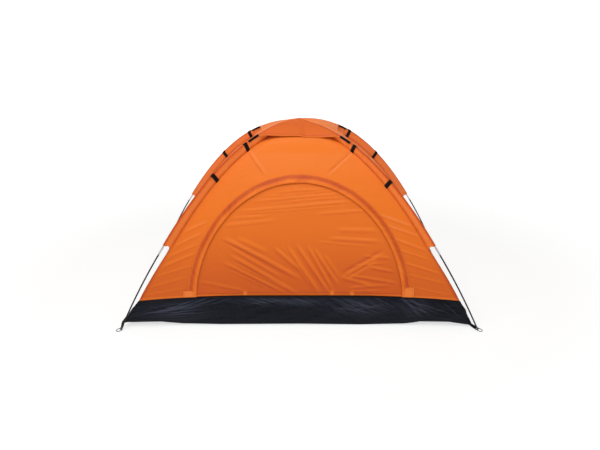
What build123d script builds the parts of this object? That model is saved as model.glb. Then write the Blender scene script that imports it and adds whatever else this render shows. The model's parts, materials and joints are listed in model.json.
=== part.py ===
from build123d import *
import math
import os

# Two-person dome tent on two crossed fibreglass poles, pitched, door closed. Millimetres.
# +Z up, origin on the ground under the crossing of the poles, door wall towards -Y.

# Poles: plan position of the feet, heights of the centre line, tube and joint sizes
FOOT_X = 1000.0
FOOT_Y = 750.0
POLE_TOP = 1065.0
POLE_FOOT = 15.0
POLE_R = 4.25
POLE_BORE_R = 2.6
CROSSING_LIFT = 4.6
SECTIONS = 7
FERRULE_R = 5.0
FERRULE_FIT = 0.05
FERRULE_LENGTH = 60.0
SHOCK_CORD_R = 1.25
CORD_TO_PIN = 10.0

# Inner tent: four walls, each curved one way, meeting above the diagonals of the floor
SHELL_X = 960.0
SHELL_Y = 716.0
SHELL_TOP = 1027.0
FABRIC = 1.0
SEAM_Z = 165.0
ROOF_RIM_Z = 986.0

# Groundsheet tub: corners pulled out towards the pole feet, edges drawn in between them
TUB_CORNER = (965.0, 703.0)
TUB_SIDE = (946.0, 684.0)
TUB_SHEET = 1.2

# Door: half ellipses above the seam, one for each edge
ZIP_LINE = (604.0, 614.0)
ZIP_GAP = 1.4
ZIP_HALF = 3.7
FLAP_OUTER = (628.0, 637.0)
FLAP_INNER = (580.0, 590.0)
FLAP_STAND = 7.0
HINGE_GAP = 3.0
SLIDER_Z = 205.0
ZIP_TRAVEL_Z = 400.0

# Sleeves and webbing tabs: fractions of the plan distance from the crossing to the foot
SLEEVE_LOW = 0.771
SLEEVE_HIGH = 0.30
TAB_LOW = 0.528
TAB_HIGH = 0.325
SLEEVE_BORE_R = 5.4
SLEEVE_R = 6.2
FIN = 1.6
TAB_WIDTH = 25.0
TAB_ROOT = 52.0

# Roof cap over the crossing
CAP_RISE = 10.2
CAP_CORNER = 0.262
CAP_HEM_Y = 186.0
CAP_HEM_X = 236.0

# Corner hardware: pin, peg ring and webbing strap
RING_R = 15.0
RING_WIRE = 1.75
KNUCKLE_Z = 7.5
EYE_R = 3.9
EYE_WIRE = 1.4
PIN_R = 2.2
PIN_DEPTH = 38.0
STRAP_WIDTH = 15.0
STRAP = 1.3
STRAP_LOOP_R = 4.5
STRAP_ROOT_Z = 24.0

FOOT_R = math.hypot(FOOT_X, FOOT_Y)
CORNERS = {
    "front_left": (-1, -1),
    "front_right": (1, -1),
    "rear_left": (-1, 1),
    "rear_right": (1, 1),
}

os.makedirs("parts", exist_ok=True)


def save(name, shape):
    """Write one named piece, as one solid or a group of solids."""
    solids = shape.solids()
    piece = solids[0] if len(solids) == 1 else Compound(children=list(solids))
    piece.label = name
    export_step(piece, f"parts/{name}.step")
    print(name, len(solids), round(sum(solid.volume for solid in solids)))


def diagonal_plane(side_x, side_y):
    """Upright plane from the crossing out to one foot: local x outward, local y up."""
    out_x = side_x * FOOT_X / FOOT_R
    out_y = side_y * FOOT_Y / FOOT_R
    return Plane(origin=(0, 0, 0), x_dir=(out_x, out_y, 0), z_dir=(out_y, -out_x, 0))


# ---------------------------------------------------------------- poles


class PoleLine:
    """Centre line of a bent pole: a parabola followed by tangent arcs, one per section."""

    def __init__(self, top):
        self.drop = (top - POLE_FOOT) / FOOT_R**2
        half = self.parabola_length(FOOT_R)
        marks = [half * step / SECTIONS for step in range(1, SECTIONS + 1, 2)]
        reaches = [self.radius_at(mark) for mark in marks]
        knots = [(reach, top - self.drop * reach**2) for reach in reaches]
        self.arcs = []
        start, heading, run = (0.0, top), 0.0, 0.0
        for knot in knots:
            step_x = knot[0] - start[0]
            step_z = knot[1] - start[1]
            chord = math.hypot(step_x, step_z)
            turn = heading - math.atan2(step_z, step_x)
            radius = chord / (2 * math.sin(turn))
            length = 2 * turn * radius
            self.arcs.append((run, start, heading, radius, length))
            start = knot
            heading -= 2 * turn
            run += length
        self.half_length = run

    def parabola_length(self, radius):
        slope = 2 * self.drop * radius
        return radius * math.sqrt(1 + slope**2) / 2 + math.asinh(slope) / (4 * self.drop)

    def radius_at(self, length):
        low, high = 0.0, FOOT_R
        for _ in range(50):
            middle = (low + high) / 2
            if self.parabola_length(middle) < length:
                low = middle
            else:
                high = middle
        return low

    def point(self, run):
        """Place and downward heading at a distance along the pole from its top."""
        first = [arc for arc in self.arcs if arc[0] <= abs(run)][-1]
        begin, (x, z), heading, radius, _ = first
        turned = heading - (abs(run) - begin) / radius
        place_x = x + radius * (math.sin(heading) - math.sin(turned))
        place_z = z + radius * (math.cos(turned) - math.cos(heading))
        return math.copysign(1, run) * place_x, place_z, turned

    def run_at(self, fraction):
        """Distance along the pole to a fraction of its plan reach."""
        low, high = 0.0, self.half_length
        for _ in range(50):
            middle = (low + high) / 2
            if self.point(middle)[0] < fraction * FOOT_R:
                low = middle
            else:
                high = middle
        return low

    def joints(self):
        ends = [arc[0] + arc[4] for arc in self.arcs]
        return [-end for end in reversed(ends)] + ends

    def path(self, plane, begin, end):
        """Tangent arcs from one distance to another, in the pole's plane."""
        breaks = [joint for joint in self.joints() if begin + 0.01 < joint < end - 0.01]
        stops = [begin] + breaks + [end]
        arcs = []
        for low, high in zip(stops, stops[1:]):
            runs = (low, (low + high) / 2, high)
            arcs.append(plane * ThreePointArc(*[self.point(run)[:2] for run in runs]))
        return Wire(Curve(children=arcs).edges())

    def frame(self, plane, run):
        """Section plane across the pole: local x sideways, local y away from the tent."""
        x, z, heading = self.point(run)
        slope = heading if run >= 0 else -heading
        along = (math.cos(slope), math.sin(slope))
        origin = plane.from_local_coords((x, z, 0))
        ahead = plane.from_local_coords((x + along[0], z + along[1], 0))
        return Plane(origin=origin, x_dir=plane.z_dir * -1, z_dir=ahead - origin)

    def sweep(self, plane, begin, end, section):
        frame = self.frame(plane, begin)
        return sweep(frame * section, path=self.path(plane, begin, end))


upper_pole = PoleLine(POLE_TOP + CROSSING_LIFT)
lower_pole = PoleLine(POLE_TOP - CROSSING_LIFT)
POLES = {
    "pole_a": (upper_pole, diagonal_plane(1, 1)),
    "pole_b": (lower_pole, diagonal_plane(-1, 1)),
}


def pole_of_corner(side_x, side_y):
    """Pole line that ends at a corner."""
    return upper_pole if side_x == side_y else lower_pole


for name, (line, plane) in POLES.items():
    joints = line.joints()
    tube = Circle(POLE_R) - Circle(POLE_BORE_R)
    for number, (begin, end) in enumerate(zip(joints, joints[1:]), start=1):
        save(f"{name}_section_{number}", line.sweep(plane, begin, end, tube))
    ferrule = Circle(FERRULE_R) - Circle(POLE_R + FERRULE_FIT)
    half = FERRULE_LENGTH / 2
    ferrules = [line.sweep(plane, joint - half, joint + half, ferrule) for joint in joints[1:-1]]
    save(f"{name}_ferrules", Compound(children=ferrules))
    cord_end = line.half_length - PIN_DEPTH - CORD_TO_PIN
    save(f"{name}_shock_cord", line.sweep(plane, -cord_end, cord_end, Circle(SHOCK_CORD_R)))

# ---------------------------------------------------------------- tent body


def parabola_face(half_width, top, base=0.0):
    """Region under a parabola, drawn across the tent."""
    curve = Bezier((-half_width, base), (0, 2 * top - base), (half_width, base))
    return make_face([curve, Line((half_width, base), (-half_width, base))])


def front_prism(half_width, top, base=0.0):
    """Solid under the curve that the front and rear walls follow."""
    return extrude(Plane.YZ * parabola_face(half_width, top, base), amount=1100, both=True)


def side_prism(half_width, top, base=0.0):
    """Solid under the curve that the left and right walls follow."""
    return extrude(Plane.XZ * parabola_face(half_width, top, base), amount=1100, both=True)


def between(low, high):
    """Slab of space between two heights."""
    return Pos(0, 0, (low + high) / 2) * Box(2400, 2400, high - low)


SIDES = ((0, -1), (0, 1), (-1, 0), (1, 0))


def wedge(side_x, side_y, half_x=SHELL_X, half_y=SHELL_Y):
    """Quarter of the plan between two diagonals, facing one wall."""
    far_x, far_y = 1.2 * half_x, 1.2 * half_y
    if side_y:
        ends = [(-far_x, side_y * far_y), (far_x, side_y * far_y)]
    else:
        ends = [(side_x * far_x, -far_y), (side_x * far_x, far_y)]
    return extrude(make_face(Polyline((0, 0), *ends, close=True)), amount=1300)


def hipped(half_x, half_y, top, base=0.0):
    """Space under four curved walls, as four quarters that meet on the diagonals."""
    front = front_prism(half_y, top, base)
    side = side_prism(half_x, top, base)
    return [(front if sides[1] else side) & wedge(*sides, half_x, half_y) for sides in SIDES]


def cut_off(shape, quarters):
    """Shape without what lies in a hipped space."""
    for quarter in quarters:
        shape = shape - quarter
    return shape


FABRIC_Y = FABRIC * 1.2
FABRIC_X = FABRIC_Y * SHELL_X / SHELL_Y
front_skin = front_prism(SHELL_Y, SHELL_TOP) - front_prism(SHELL_Y - FABRIC_Y, SHELL_TOP - FABRIC)
side_skin = side_prism(SHELL_X, SHELL_TOP) - side_prism(SHELL_X - FABRIC_X, SHELL_TOP - FABRIC)
tent_space = hipped(SHELL_X, SHELL_Y, SHELL_TOP)


def arch(half_width, height):
    """Block in front of the tent inside a half ellipse that stands on the seam."""
    outline = Plane.XZ * (Pos(0, SEAM_Z) * Ellipse(half_width, height))
    return extrude(outline, amount=800) & between(SEAM_Z - 1, 1300)


def arch_edge(offset):
    """The zip line's ellipse, grown by an offset."""
    return arch(ZIP_LINE[0] + offset, ZIP_LINE[1] + offset)


wall_band = between(SEAM_Z, ROOF_RIM_Z)
front_skin_band = front_skin & wedge(0, -1) & wall_band
save("front_wall", front_skin_band - arch_edge(ZIP_GAP + ZIP_HALF))
save("rear_wall", front_skin & wedge(0, 1) & wall_band)
save("left_wall", side_skin & wedge(-1, 0) & wall_band)
save("right_wall", side_skin & wedge(1, 0) & wall_band)

roof_band = between(ROOF_RIM_Z, SHELL_TOP + 1)
roof_quarters = [(front_skin if sides[1] else side_skin) & wedge(*sides) & roof_band for sides in SIDES]
save("roof_mesh", roof_quarters[0] + roof_quarters[1] + roof_quarters[2] + roof_quarters[3])


def tub_outline(inset, height):
    """Rectangle at a height with its corners pulled out and its sides drawn in."""
    rise = height / SEAM_Z
    seam = math.sqrt(1 - SEAM_Z / SHELL_TOP)
    corner_x = TUB_CORNER[0] + (SHELL_X * seam - TUB_CORNER[0]) * rise - inset
    corner_y = TUB_CORNER[1] + (SHELL_Y * seam - TUB_CORNER[1]) * rise - inset
    side_x = TUB_SIDE[0] + (SHELL_X * seam - TUB_SIDE[0]) * rise - inset
    side_y = TUB_SIDE[1] + (SHELL_Y * seam - TUB_SIDE[1]) * rise - inset
    if height >= SEAM_Z:
        return Pos(0, 0, height) * Rectangle(2 * corner_x, 2 * corner_y)
    edges = [
        ThreePointArc((-corner_x, -corner_y), (0, -side_y), (corner_x, -corner_y)),
        ThreePointArc((corner_x, -corner_y), (side_x, 0), (corner_x, corner_y)),
        ThreePointArc((corner_x, corner_y), (0, side_y), (-corner_x, corner_y)),
        ThreePointArc((-corner_x, corner_y), (-side_x, 0), (-corner_x, -corner_y)),
    ]
    return Pos(0, 0, height) * make_face(edges)


tub_block = loft([tub_outline(0, 0), tub_outline(0, SEAM_Z)], ruled=True)
tub_hollow = loft([tub_outline(TUB_SHEET, TUB_SHEET), tub_outline(TUB_SHEET, SEAM_Z)], ruled=True)
tub_mouth = extrude(tub_outline(TUB_SHEET, SEAM_Z), amount=5)
save("groundsheet", tub_block - tub_hollow - tub_mouth)

# ---------------------------------------------------------------- door, zip and storm flap

door_band = front_skin & between(SEAM_Z + HINGE_GAP, ROOF_RIM_Z)
save("door_panel", door_band & arch_edge(-ZIP_GAP - ZIP_HALF))
save("door_zip_tape", door_band & (arch_edge(-ZIP_GAP) - arch_edge(-ZIP_GAP - ZIP_HALF)))
save("frame_zip_tape", front_skin & wall_band & (arch_edge(ZIP_GAP + ZIP_HALF) - arch_edge(ZIP_GAP)))

LEAN = 1.08
flap_low = front_prism(SHELL_Y + LEAN * FLAP_STAND, SHELL_TOP + FLAP_STAND)
flap_high = front_prism(SHELL_Y + LEAN * (FLAP_STAND + FABRIC), SHELL_TOP + FLAP_STAND + FABRIC)
flap_zone = (arch(*FLAP_OUTER) - arch(*FLAP_INNER)) & between(SEAM_Z + HINGE_GAP, ROOF_RIM_Z)
flap_seam = arch(*FLAP_OUTER) - arch(FLAP_OUTER[0] - 2 * FABRIC, FLAP_OUTER[1] - 2 * FABRIC)
flap_sheet = (flap_high - flap_low) & flap_zone
flap_foot = (flap_low - front_prism(SHELL_Y, SHELL_TOP)) & flap_seam & between(
    SEAM_Z + HINGE_GAP, ROOF_RIM_Z
)
save("door_storm_flap", flap_sheet + flap_foot)


def wall_y(height):
    """Distance of the front wall from the middle of the tent at a height."""
    return -SHELL_Y * math.sqrt(1 - height / SHELL_TOP)


# The zip's lower stretch on the right is close to a circle in the plane of the wall there.
chord_y = wall_y(ZIP_TRAVEL_Z) - wall_y(SLIDER_Z)
chord_z = ZIP_TRAVEL_Z - SLIDER_Z
chord = math.hypot(chord_y, chord_z)
zip_up = Vector(0, chord_y / chord, chord_z / chord)
zip_out = Vector(0, -chord_z / chord, chord_y / chord)
zip_reach = ZIP_LINE[1] * chord / chord_z
zip_radius = zip_reach**2 / ZIP_LINE[0]
middle_z = (SLIDER_Z + ZIP_TRAVEL_Z) / 2
wall_bulge = (wall_y(SLIDER_Z) + wall_y(ZIP_TRAVEL_Z)) / 2 - wall_y(middle_z)
zip_centre = Vector(ZIP_LINE[0] - zip_radius, wall_y(SLIDER_Z), SLIDER_Z)
zip_centre = zip_centre + zip_up * (-(SLIDER_Z - SEAM_Z) * chord / chord_z)
zip_centre = zip_centre + zip_out * (abs(wall_bulge) / 2)
slider_angle = math.asin((SLIDER_Z - SEAM_Z) * chord / chord_z / zip_radius)
slider_x = Vector(1, 0, 0) * math.cos(slider_angle) + zip_up * math.sin(slider_angle)
slider_plane = Plane(
    origin=zip_centre + slider_x * zip_radius,
    x_dir=slider_x,
    z_dir=zip_out,
)
SLIDER_CLEAR = 1.7
SLIDER_PLATE = 1.6
SLIDER_LENGTH = 14.0
OUTER_WIDTH = 9.0
INNER_WIDTH = 8.0
INNER_SHIFT = 3.4
FABRIC_MIDDLE = -FABRIC / 2
LUG = 3.4
PIVOT_DROP = 2.4
PULL_PIN_R = 0.7
PULL_LENGTH = 32.0
PULL_WIDTH = 3.0
PULL_THICK = 1.2
plate_level = SLIDER_CLEAR + SLIDER_PLATE / 2
inner_face = -SLIDER_CLEAR - SLIDER_PLATE
outer_plate = Pos(0, 0, plate_level + FABRIC_MIDDLE) * Box(OUTER_WIDTH, SLIDER_LENGTH, SLIDER_PLATE)
inner_plate = Pos(INNER_SHIFT, 0, -plate_level + FABRIC_MIDDLE) * Box(
    INNER_WIDTH, SLIDER_LENGTH, SLIDER_PLATE
)
post = Pos(0, SLIDER_LENGTH / 4, FABRIC_MIDDLE) * Box(1.2, SLIDER_LENGTH / 4, 2 * plate_level)
pivot_at = Pos(INNER_SHIFT, -SLIDER_LENGTH / 7, inner_face - PIVOT_DROP)
lug = pivot_at * Pos(0, 0, 0.8) * Box(INNER_WIDTH, LUG, LUG)
lug_slot = pivot_at * Pos(0, 0, 0.5) * Box(PULL_WIDTH + 0.6, LUG + 1, LUG)
pull_pin = pivot_at * Rot(0, 90, 0) * Cylinder(PULL_PIN_R, INNER_WIDTH - 1)
slider = outer_plate + inner_plate + post + (lug - lug_slot) + pull_pin
save("zip_slider", slider_plane * slider)

knuckle_r = PULL_PIN_R + 0.9
knuckle = Rot(0, 90, 0) * (Cylinder(knuckle_r, PULL_WIDTH) - Cylinder(PULL_PIN_R + 0.15, 4))
blade = Pos(0, -PULL_LENGTH / 2 - PULL_PIN_R - 0.5, 0) * Box(PULL_WIDTH, PULL_LENGTH, PULL_THICK)
blade_hole = Pos(0, 3 - PULL_LENGTH, 0) * Cylinder(PULL_WIDTH * 0.3, 5)
save("zip_pull", slider_plane * (pivot_at * (knuckle + blade - blade_hole)))
pivot_place = slider_plane * pivot_at * Vertex(0, 0, 0)
print("zip hinge centre", zip_centre, "axis", zip_out, "radius", zip_radius)
print("pull pivot", pivot_place.center(), "axis", slider_x)

# ---------------------------------------------------------------- sleeves and tabs


def corner_pole(side_x, side_y):
    """Pole line and outward plane of a corner, so that distances count up to its foot."""
    return pole_of_corner(side_x, side_y), diagonal_plane(side_x, side_y)


def sleeve(side_x, side_y):
    """Fabric tunnel round the pole on a fin that is sewn into the corner seam."""
    line, plane = corner_pole(side_x, side_y)
    tunnel = Circle(SLEEVE_R) - Circle(SLEEVE_BORE_R)
    depth = 85.0
    fin = Pos(0, -SLEEVE_BORE_R - 0.4 - depth / 2) * Rectangle(FIN, depth)
    begin, end = line.run_at(SLEEVE_HIGH), line.run_at(SLEEVE_LOW)
    body = line.sweep(plane, begin, end, tunnel) + line.sweep(plane, begin, end, fin)
    return cut_off(body, tent_space)


def sleeve_tab(side_x, side_y, fraction):
    """Webbing folded round the sleeve and sewn down beside the seam."""
    line, plane = corner_pole(side_x, side_y)
    run = line.run_at(fraction)
    inner_r = SLEEVE_R + 0.8
    outer_r = inner_r + STRAP
    root = FIN / 2 + 0.5
    half = root + STRAP
    outer_web = Polyline((-outer_r, 0), (-half, -TAB_ROOT), (half, -TAB_ROOT), (outer_r, 0), close=True)
    inner_web = Polyline((-inner_r, 0), (-root, -TAB_ROOT), (root, -TAB_ROOT), (inner_r, 0), close=True)
    outer = Circle(outer_r) + make_face(outer_web)
    inner = Circle(inner_r) + make_face(inner_web)
    frame = line.frame(plane, run)
    return cut_off(extrude(frame * (outer - inner), amount=TAB_WIDTH / 2, both=True), tent_space)


for name, sides in CORNERS.items():
    save(f"pole_sleeve_{name}", sleeve(*sides))
low_tabs = [sleeve_tab(*sides, TAB_LOW) for sides in CORNERS.values()]
save("lower_sleeve_tabs", Compound(children=[solid for tab in low_tabs for solid in tab.solids()]))
high_tabs = [sleeve_tab(*sides, TAB_HIGH) for sides in CORNERS.values()]
save("upper_sleeve_tabs", Compound(children=[solid for tab in high_tabs for solid in tab.solids()]))

# ---------------------------------------------------------------- roof cap


cap_x = FOOT_X * CAP_CORNER
cap_y = FOOT_Y * CAP_CORNER
cap_hems = [
    ThreePointArc((-cap_x, -cap_y), (0, -CAP_HEM_Y), (cap_x, -cap_y)),
    ThreePointArc((cap_x, -cap_y), (CAP_HEM_X, 0), (cap_x, cap_y)),
    ThreePointArc((cap_x, cap_y), (0, CAP_HEM_Y), (-cap_x, cap_y)),
    ThreePointArc((-cap_x, cap_y), (-CAP_HEM_X, 0), (-cap_x, -cap_y)),
]
cap_plan = make_face(cap_hems)
cap_zone = Pos(0, 0, 900) * extrude(cap_plan, amount=300)
def cap_quarter(side_x, side_y):
    """One facet of a cap that lies on the poles."""
    prism = front_prism if side_y else side_prism
    half = FOOT_Y if side_y else FOOT_X
    low = prism(half, POLE_TOP + CAP_RISE, POLE_FOOT + CAP_RISE)
    high = prism(half, POLE_TOP + CAP_RISE + FABRIC, POLE_FOOT + CAP_RISE)
    return (high - low) & wedge(side_x, side_y, FOOT_X, FOOT_Y) & cap_zone


cap_facets = [cap_quarter(*sides) for sides in SIDES]
save("roof_cap", cap_facets[0] + cap_facets[1] + cap_facets[2] + cap_facets[3])
cap_space = hipped(FOOT_X, FOOT_Y, POLE_TOP + CAP_RISE, POLE_FOOT + CAP_RISE)


def cap_loop(side_x, side_y):
    """Webbing loop under a corner of the cap, round the pole."""
    line, plane = corner_pole(side_x, side_y)
    run = line.run_at(CAP_CORNER - 0.015)
    ring = Circle(FERRULE_R + 2.0) - Circle(FERRULE_R + 0.5)
    band = extrude(line.frame(plane, run) * ring, amount=6, both=True)
    quarters = [(band & quarter).solids() for quarter in cap_space]
    pieces = [solid for solids in quarters for solid in solids]
    return pieces[0].fuse(*pieces[1:]) if len(pieces) > 1 else pieces[0]


loops = [cap_loop(*sides) for sides in CORNERS.values()]
save("cap_corner_loops", Compound(children=[solid for loop in loops for solid in loop.solids()]))

# ---------------------------------------------------------------- corner hardware


def knuckle_place(line):
    """Point where pin, ring and strap meet, on the pole's own line below its end."""
    foot_x, foot_z, heading = line.point(line.half_length)
    reach = (foot_z - KNUCKLE_Z) / -math.sin(heading)
    return foot_x + reach * math.cos(heading), KNUCKLE_Z, heading, reach


def corner_pin(side_x, side_y):
    """Steel pin with an eye, pushed up into the hollow end of the pole."""
    line, plane = corner_pole(side_x, side_y)
    x, z, heading, reach = knuckle_place(line)
    length = reach + PIN_DEPTH - EYE_R
    shank = Pos(EYE_R + length / 2, 0, 0) * Rot(0, 90, 0) * Cylinder(PIN_R, length)
    eye = Torus(EYE_R, EYE_WIRE)
    eye_hole = Cylinder(EYE_R - EYE_WIRE, 4 * PIN_R)
    upward = Location((x, z, 0), (0, 0, 1), 180 + math.degrees(heading))
    return plane * (upward * (shank + eye - eye_hole))


def peg_ring(side_x, side_y):
    """Steel ring for a ground peg, lying with its outer rim on the ground."""
    line, plane = corner_pole(side_x, side_y)
    x, z, _, _ = knuckle_place(line)
    tilt = math.asin((KNUCKLE_Z - RING_WIRE) / (2 * RING_R))
    centre = Pos(x + RING_R * math.cos(tilt), z - RING_R * math.sin(tilt), 0)
    ring = Rot(0, 0, -math.degrees(tilt)) * Rot(90, 0, 0) * Torus(RING_R, RING_WIRE)
    return plane * (centre * ring)


def corner_strap(side_x, side_y):
    """Webbing from the groundsheet corner, ending in a loop round the ring."""
    line, plane = corner_pole(side_x, side_y)
    x, z, _, _ = knuckle_place(line)
    outer_r = STRAP_LOOP_R + STRAP
    loop = Pos(x, z) * (Circle(outer_r) - Circle(STRAP_LOOP_R))
    root_x = math.hypot(*TUB_CORNER) - 40
    slope = math.atan2(STRAP_ROOT_Z - z + outer_r, x - root_x)
    low = (x - outer_r * math.sin(slope), z - outer_r * math.cos(slope))
    high = (x - STRAP_LOOP_R * math.sin(slope), z - STRAP_LOOP_R * math.cos(slope))
    length = 100.0
    back = (-length * math.cos(slope), length * math.sin(slope))
    tail = Polyline(
        low,
        high,
        (high[0] + back[0], high[1] + back[1]),
        (low[0] + back[0], low[1] + back[1]),
        close=True,
    )
    band = extrude(loop + make_face(tail), amount=STRAP_WIDTH / 2, both=True)
    notch = Pos(x, z, 0) * Cylinder(outer_r + 0.6, 2 * PIN_R + 1.0)
    return plane * (band - notch) - tub_block


for name, sides in CORNERS.items():
    save(f"corner_pin_{name}", corner_pin(*sides))
    save(f"peg_ring_{name}", peg_ring(*sides))
    save(f"corner_strap_{name}", corner_strap(*sides))
    line, plane = corner_pole(*sides)
    x, z, heading, reach = knuckle_place(line)
    print(name, "knuckle", plane.from_local_coords((x, z, 0)), "hinge axis", plane.z_dir)
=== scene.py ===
# %% [markdown]
# A dome tent on two crossed poles, pitched, with its door zipped shut. The poles, ferrules, pins
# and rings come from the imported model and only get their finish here. Everything that is cloth is
# built again as sheets, because a sewn sheet has creases, hems and stitches that a solid can't show.

# %% The frame
import json
import math

import bpy
import numpy as np
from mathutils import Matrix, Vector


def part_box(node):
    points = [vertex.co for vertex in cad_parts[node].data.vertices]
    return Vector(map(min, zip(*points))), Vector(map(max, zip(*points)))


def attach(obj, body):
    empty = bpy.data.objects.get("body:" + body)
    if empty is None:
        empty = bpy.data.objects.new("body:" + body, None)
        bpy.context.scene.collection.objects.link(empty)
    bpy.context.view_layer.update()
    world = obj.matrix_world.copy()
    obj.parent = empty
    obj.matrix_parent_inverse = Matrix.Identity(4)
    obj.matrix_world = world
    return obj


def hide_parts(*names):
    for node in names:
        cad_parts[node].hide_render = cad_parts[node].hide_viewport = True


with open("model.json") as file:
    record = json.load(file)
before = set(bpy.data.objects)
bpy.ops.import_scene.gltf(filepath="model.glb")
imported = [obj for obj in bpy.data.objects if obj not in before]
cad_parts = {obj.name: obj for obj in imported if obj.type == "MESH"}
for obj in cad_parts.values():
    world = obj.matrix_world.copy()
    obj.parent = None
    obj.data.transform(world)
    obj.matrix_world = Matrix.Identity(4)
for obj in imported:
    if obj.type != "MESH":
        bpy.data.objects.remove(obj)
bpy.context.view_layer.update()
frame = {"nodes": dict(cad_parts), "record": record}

# %% [markdown]
# The camera stands in front of the door, a little above the roof, and looks down on the tent. Its
# place is counted in widths between the poles' feet, from the middle of the floor.

# %% Camera
FEET_APART = 2.0
CAMERA_DOWN = 17.3
camera_data = bpy.data.cameras.new("camera")
camera_data.sensor_width = 36.0
camera_data.lens = 43.14
camera_data.clip_start = 0.05
camera = bpy.data.objects.new("camera", camera_data)
camera.location = (0.004, -2.225 * FEET_APART, 0.886 * FEET_APART)
camera.rotation_euler = (math.radians(90 - CAMERA_DOWN), 0, 0)
bpy.context.scene.collection.objects.link(camera)
bpy.context.scene.camera = camera
print("camera", [round(v, 3) for v in camera.location])

# %% [markdown]
# A studio for cloth: a wide soft box overhead so that the upper cloth, which faces up, is brighter
# than the lower cloth, weak soft boxes at both sides that pick out the creases, and a pale floor
# that fades into a pale world. Light is large everywhere, so shadows stay faint.

# %% Floor, lights and world
def soft_box(name, place, aim, size, watts, tint):
    data = bpy.data.lights.new(name, "AREA")
    data.shape = "RECTANGLE"
    data.size, data.size_y = size
    data.energy = watts
    data.color = tint
    lamp = bpy.data.objects.new(name, data)
    lamp.location = place
    direction = Vector(aim) - Vector(place)
    lamp.rotation_euler = direction.to_track_quat("-Z", "Y").to_euler()
    bpy.context.scene.collection.objects.link(lamp)


soft_box("overhead", (-0.3, -0.9, 3.4), (0, 0, 0.4), (2.0, 1.4), 44, (1.0, 0.99, 0.97))
soft_box("front_left", (-3.4, -3.0, 2.4), (0, 0, 0.5), (1.2, 1.6), 14, (1.0, 0.98, 0.96))
soft_box("front_right", (3.6, -2.6, 1.8), (0, 0, 0.5), (1.2, 1.6), 7, (0.98, 0.99, 1.0))
world = bpy.data.worlds.new("world")
world.use_nodes = True
sky = world.node_tree
aim = sky.nodes.new("ShaderNodeTexCoord")
split = sky.nodes.new("ShaderNodeSeparateXYZ")
fade = sky.nodes.new("ShaderNodeValToRGB")
fade.color_ramp.elements[0].color = (1.0, 1.0, 1.0, 1)
fade.color_ramp.elements[0].position = 0.03
fade.color_ramp.elements[1].color = (0.36, 0.36, 0.36, 1)
fade.color_ramp.elements[1].position = 0.30
sky.links.new(aim.outputs["Generated"], split.inputs[0])
sky.links.new(split.outputs["Z"], fade.inputs["Fac"])
sky.links.new(fade.outputs["Color"], sky.nodes["Background"].inputs["Color"])
sky.nodes["Background"].inputs["Strength"].default_value = 1.0
bpy.context.scene.world = world
bpy.context.scene.view_settings.view_transform = "Standard"

# %% [markdown]
# Finishes are written as sums. A small class holds one output socket and turns Python's + - * / into
# Math nodes, so a line such as `0.4 + 0.2 * grain` is a piece of the node tree that can be read.

# %% Shader sums
class Value:
    """One output socket that can be added, multiplied and so on."""

    def __init__(self, paint, socket):
        self.paint = paint
        self.socket = socket

    def math(self, operation, left, right=0.0):
        return self.paint.node("ShaderNodeMath", {"operation": operation}, {0: left, 1: right})

    def __add__(self, other):
        return self.math("ADD", self, other)

    def __sub__(self, other):
        return self.math("SUBTRACT", self, other)

    def __mul__(self, other):
        return self.math("MULTIPLY", self, other)

    def clamp(self):
        return self.paint.node("ShaderNodeClamp", {}, {"Value": self})

    __radd__ = __add__
    __rmul__ = __mul__


class Paint:
    """A material that is being mixed."""

    def __init__(self, name):
        self.material = bpy.data.materials.new(name)
        self.material.use_nodes = True
        self.tree = self.material.node_tree
        self.shader = self.tree.nodes["Principled BSDF"]

    def node(self, kind, settings, inputs, output=0):
        made = self.tree.nodes.new(kind)
        for key, value in settings.items():
            setattr(made, key, value)
        for key, value in inputs.items():
            if isinstance(value, Value):
                self.tree.links.new(value.socket, made.inputs[key])
            else:
                made.inputs[key].default_value = value
        return Value(self, made.outputs[output])

    def coordinates(self, kind):
        return self.node("ShaderNodeTexCoord", {}, {}, kind)

    def attribute(self, name):
        return self.node("ShaderNodeAttribute", {"attribute_name": name}, {}, "Fac")

    def stretched(self, vector, scale, turn=0.0):
        inputs = {"Vector": vector, "Scale": scale, "Rotation": (0, 0, turn)}
        return self.node("ShaderNodeMapping", {}, inputs)

    def noise(self, vector, scale, detail=2.0, rough=0.5, distortion=0.0):
        inputs = {"Vector": vector, "Scale": scale, "Detail": detail}
        inputs |= {"Roughness": rough, "Distortion": distortion}
        return self.node("ShaderNodeTexNoise", {}, inputs)

    def ridged(self, vector, scale, detail=3.0):
        settings = {"noise_type": "RIDGED_MULTIFRACTAL", "normalize": True}
        inputs = {"Vector": vector, "Scale": scale, "Detail": detail, "Roughness": 0.55}
        return self.node("ShaderNodeTexNoise", settings, inputs)

    def waves(self, vector, pitch, direction="X"):
        """Stripes with a given pitch in metres."""
        settings = {"wave_type": "BANDS", "bands_direction": direction}
        inputs = {"Vector": vector, "Scale": math.tau / 20 / pitch}
        return self.node("ShaderNodeTexWave", settings, inputs, 1)

    def mix(self, share, first, second):
        settings = {"data_type": "RGBA"}
        return self.node("ShaderNodeMix", settings, {"Factor": share, 6: first, 7: second}, 2)

    def bump(self, height, distance, strength=1.0, under=None):
        inputs = {"Height": height, "Distance": distance, "Strength": strength}
        if under is not None:
            inputs["Normal"] = under
        return self.node("ShaderNodeBump", {}, inputs)

    def finish(self, links, **constants):
        for key, value in links.items():
            if isinstance(value, Value):
                self.tree.links.new(value.socket, self.shader.inputs[key])
            else:
                self.shader.inputs[key].default_value = value
        for key, value in constants.items():
            self.shader.inputs[key.replace("_", " ").title().replace("Ior", "IOR")].default_value = value
        return self.material
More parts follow.
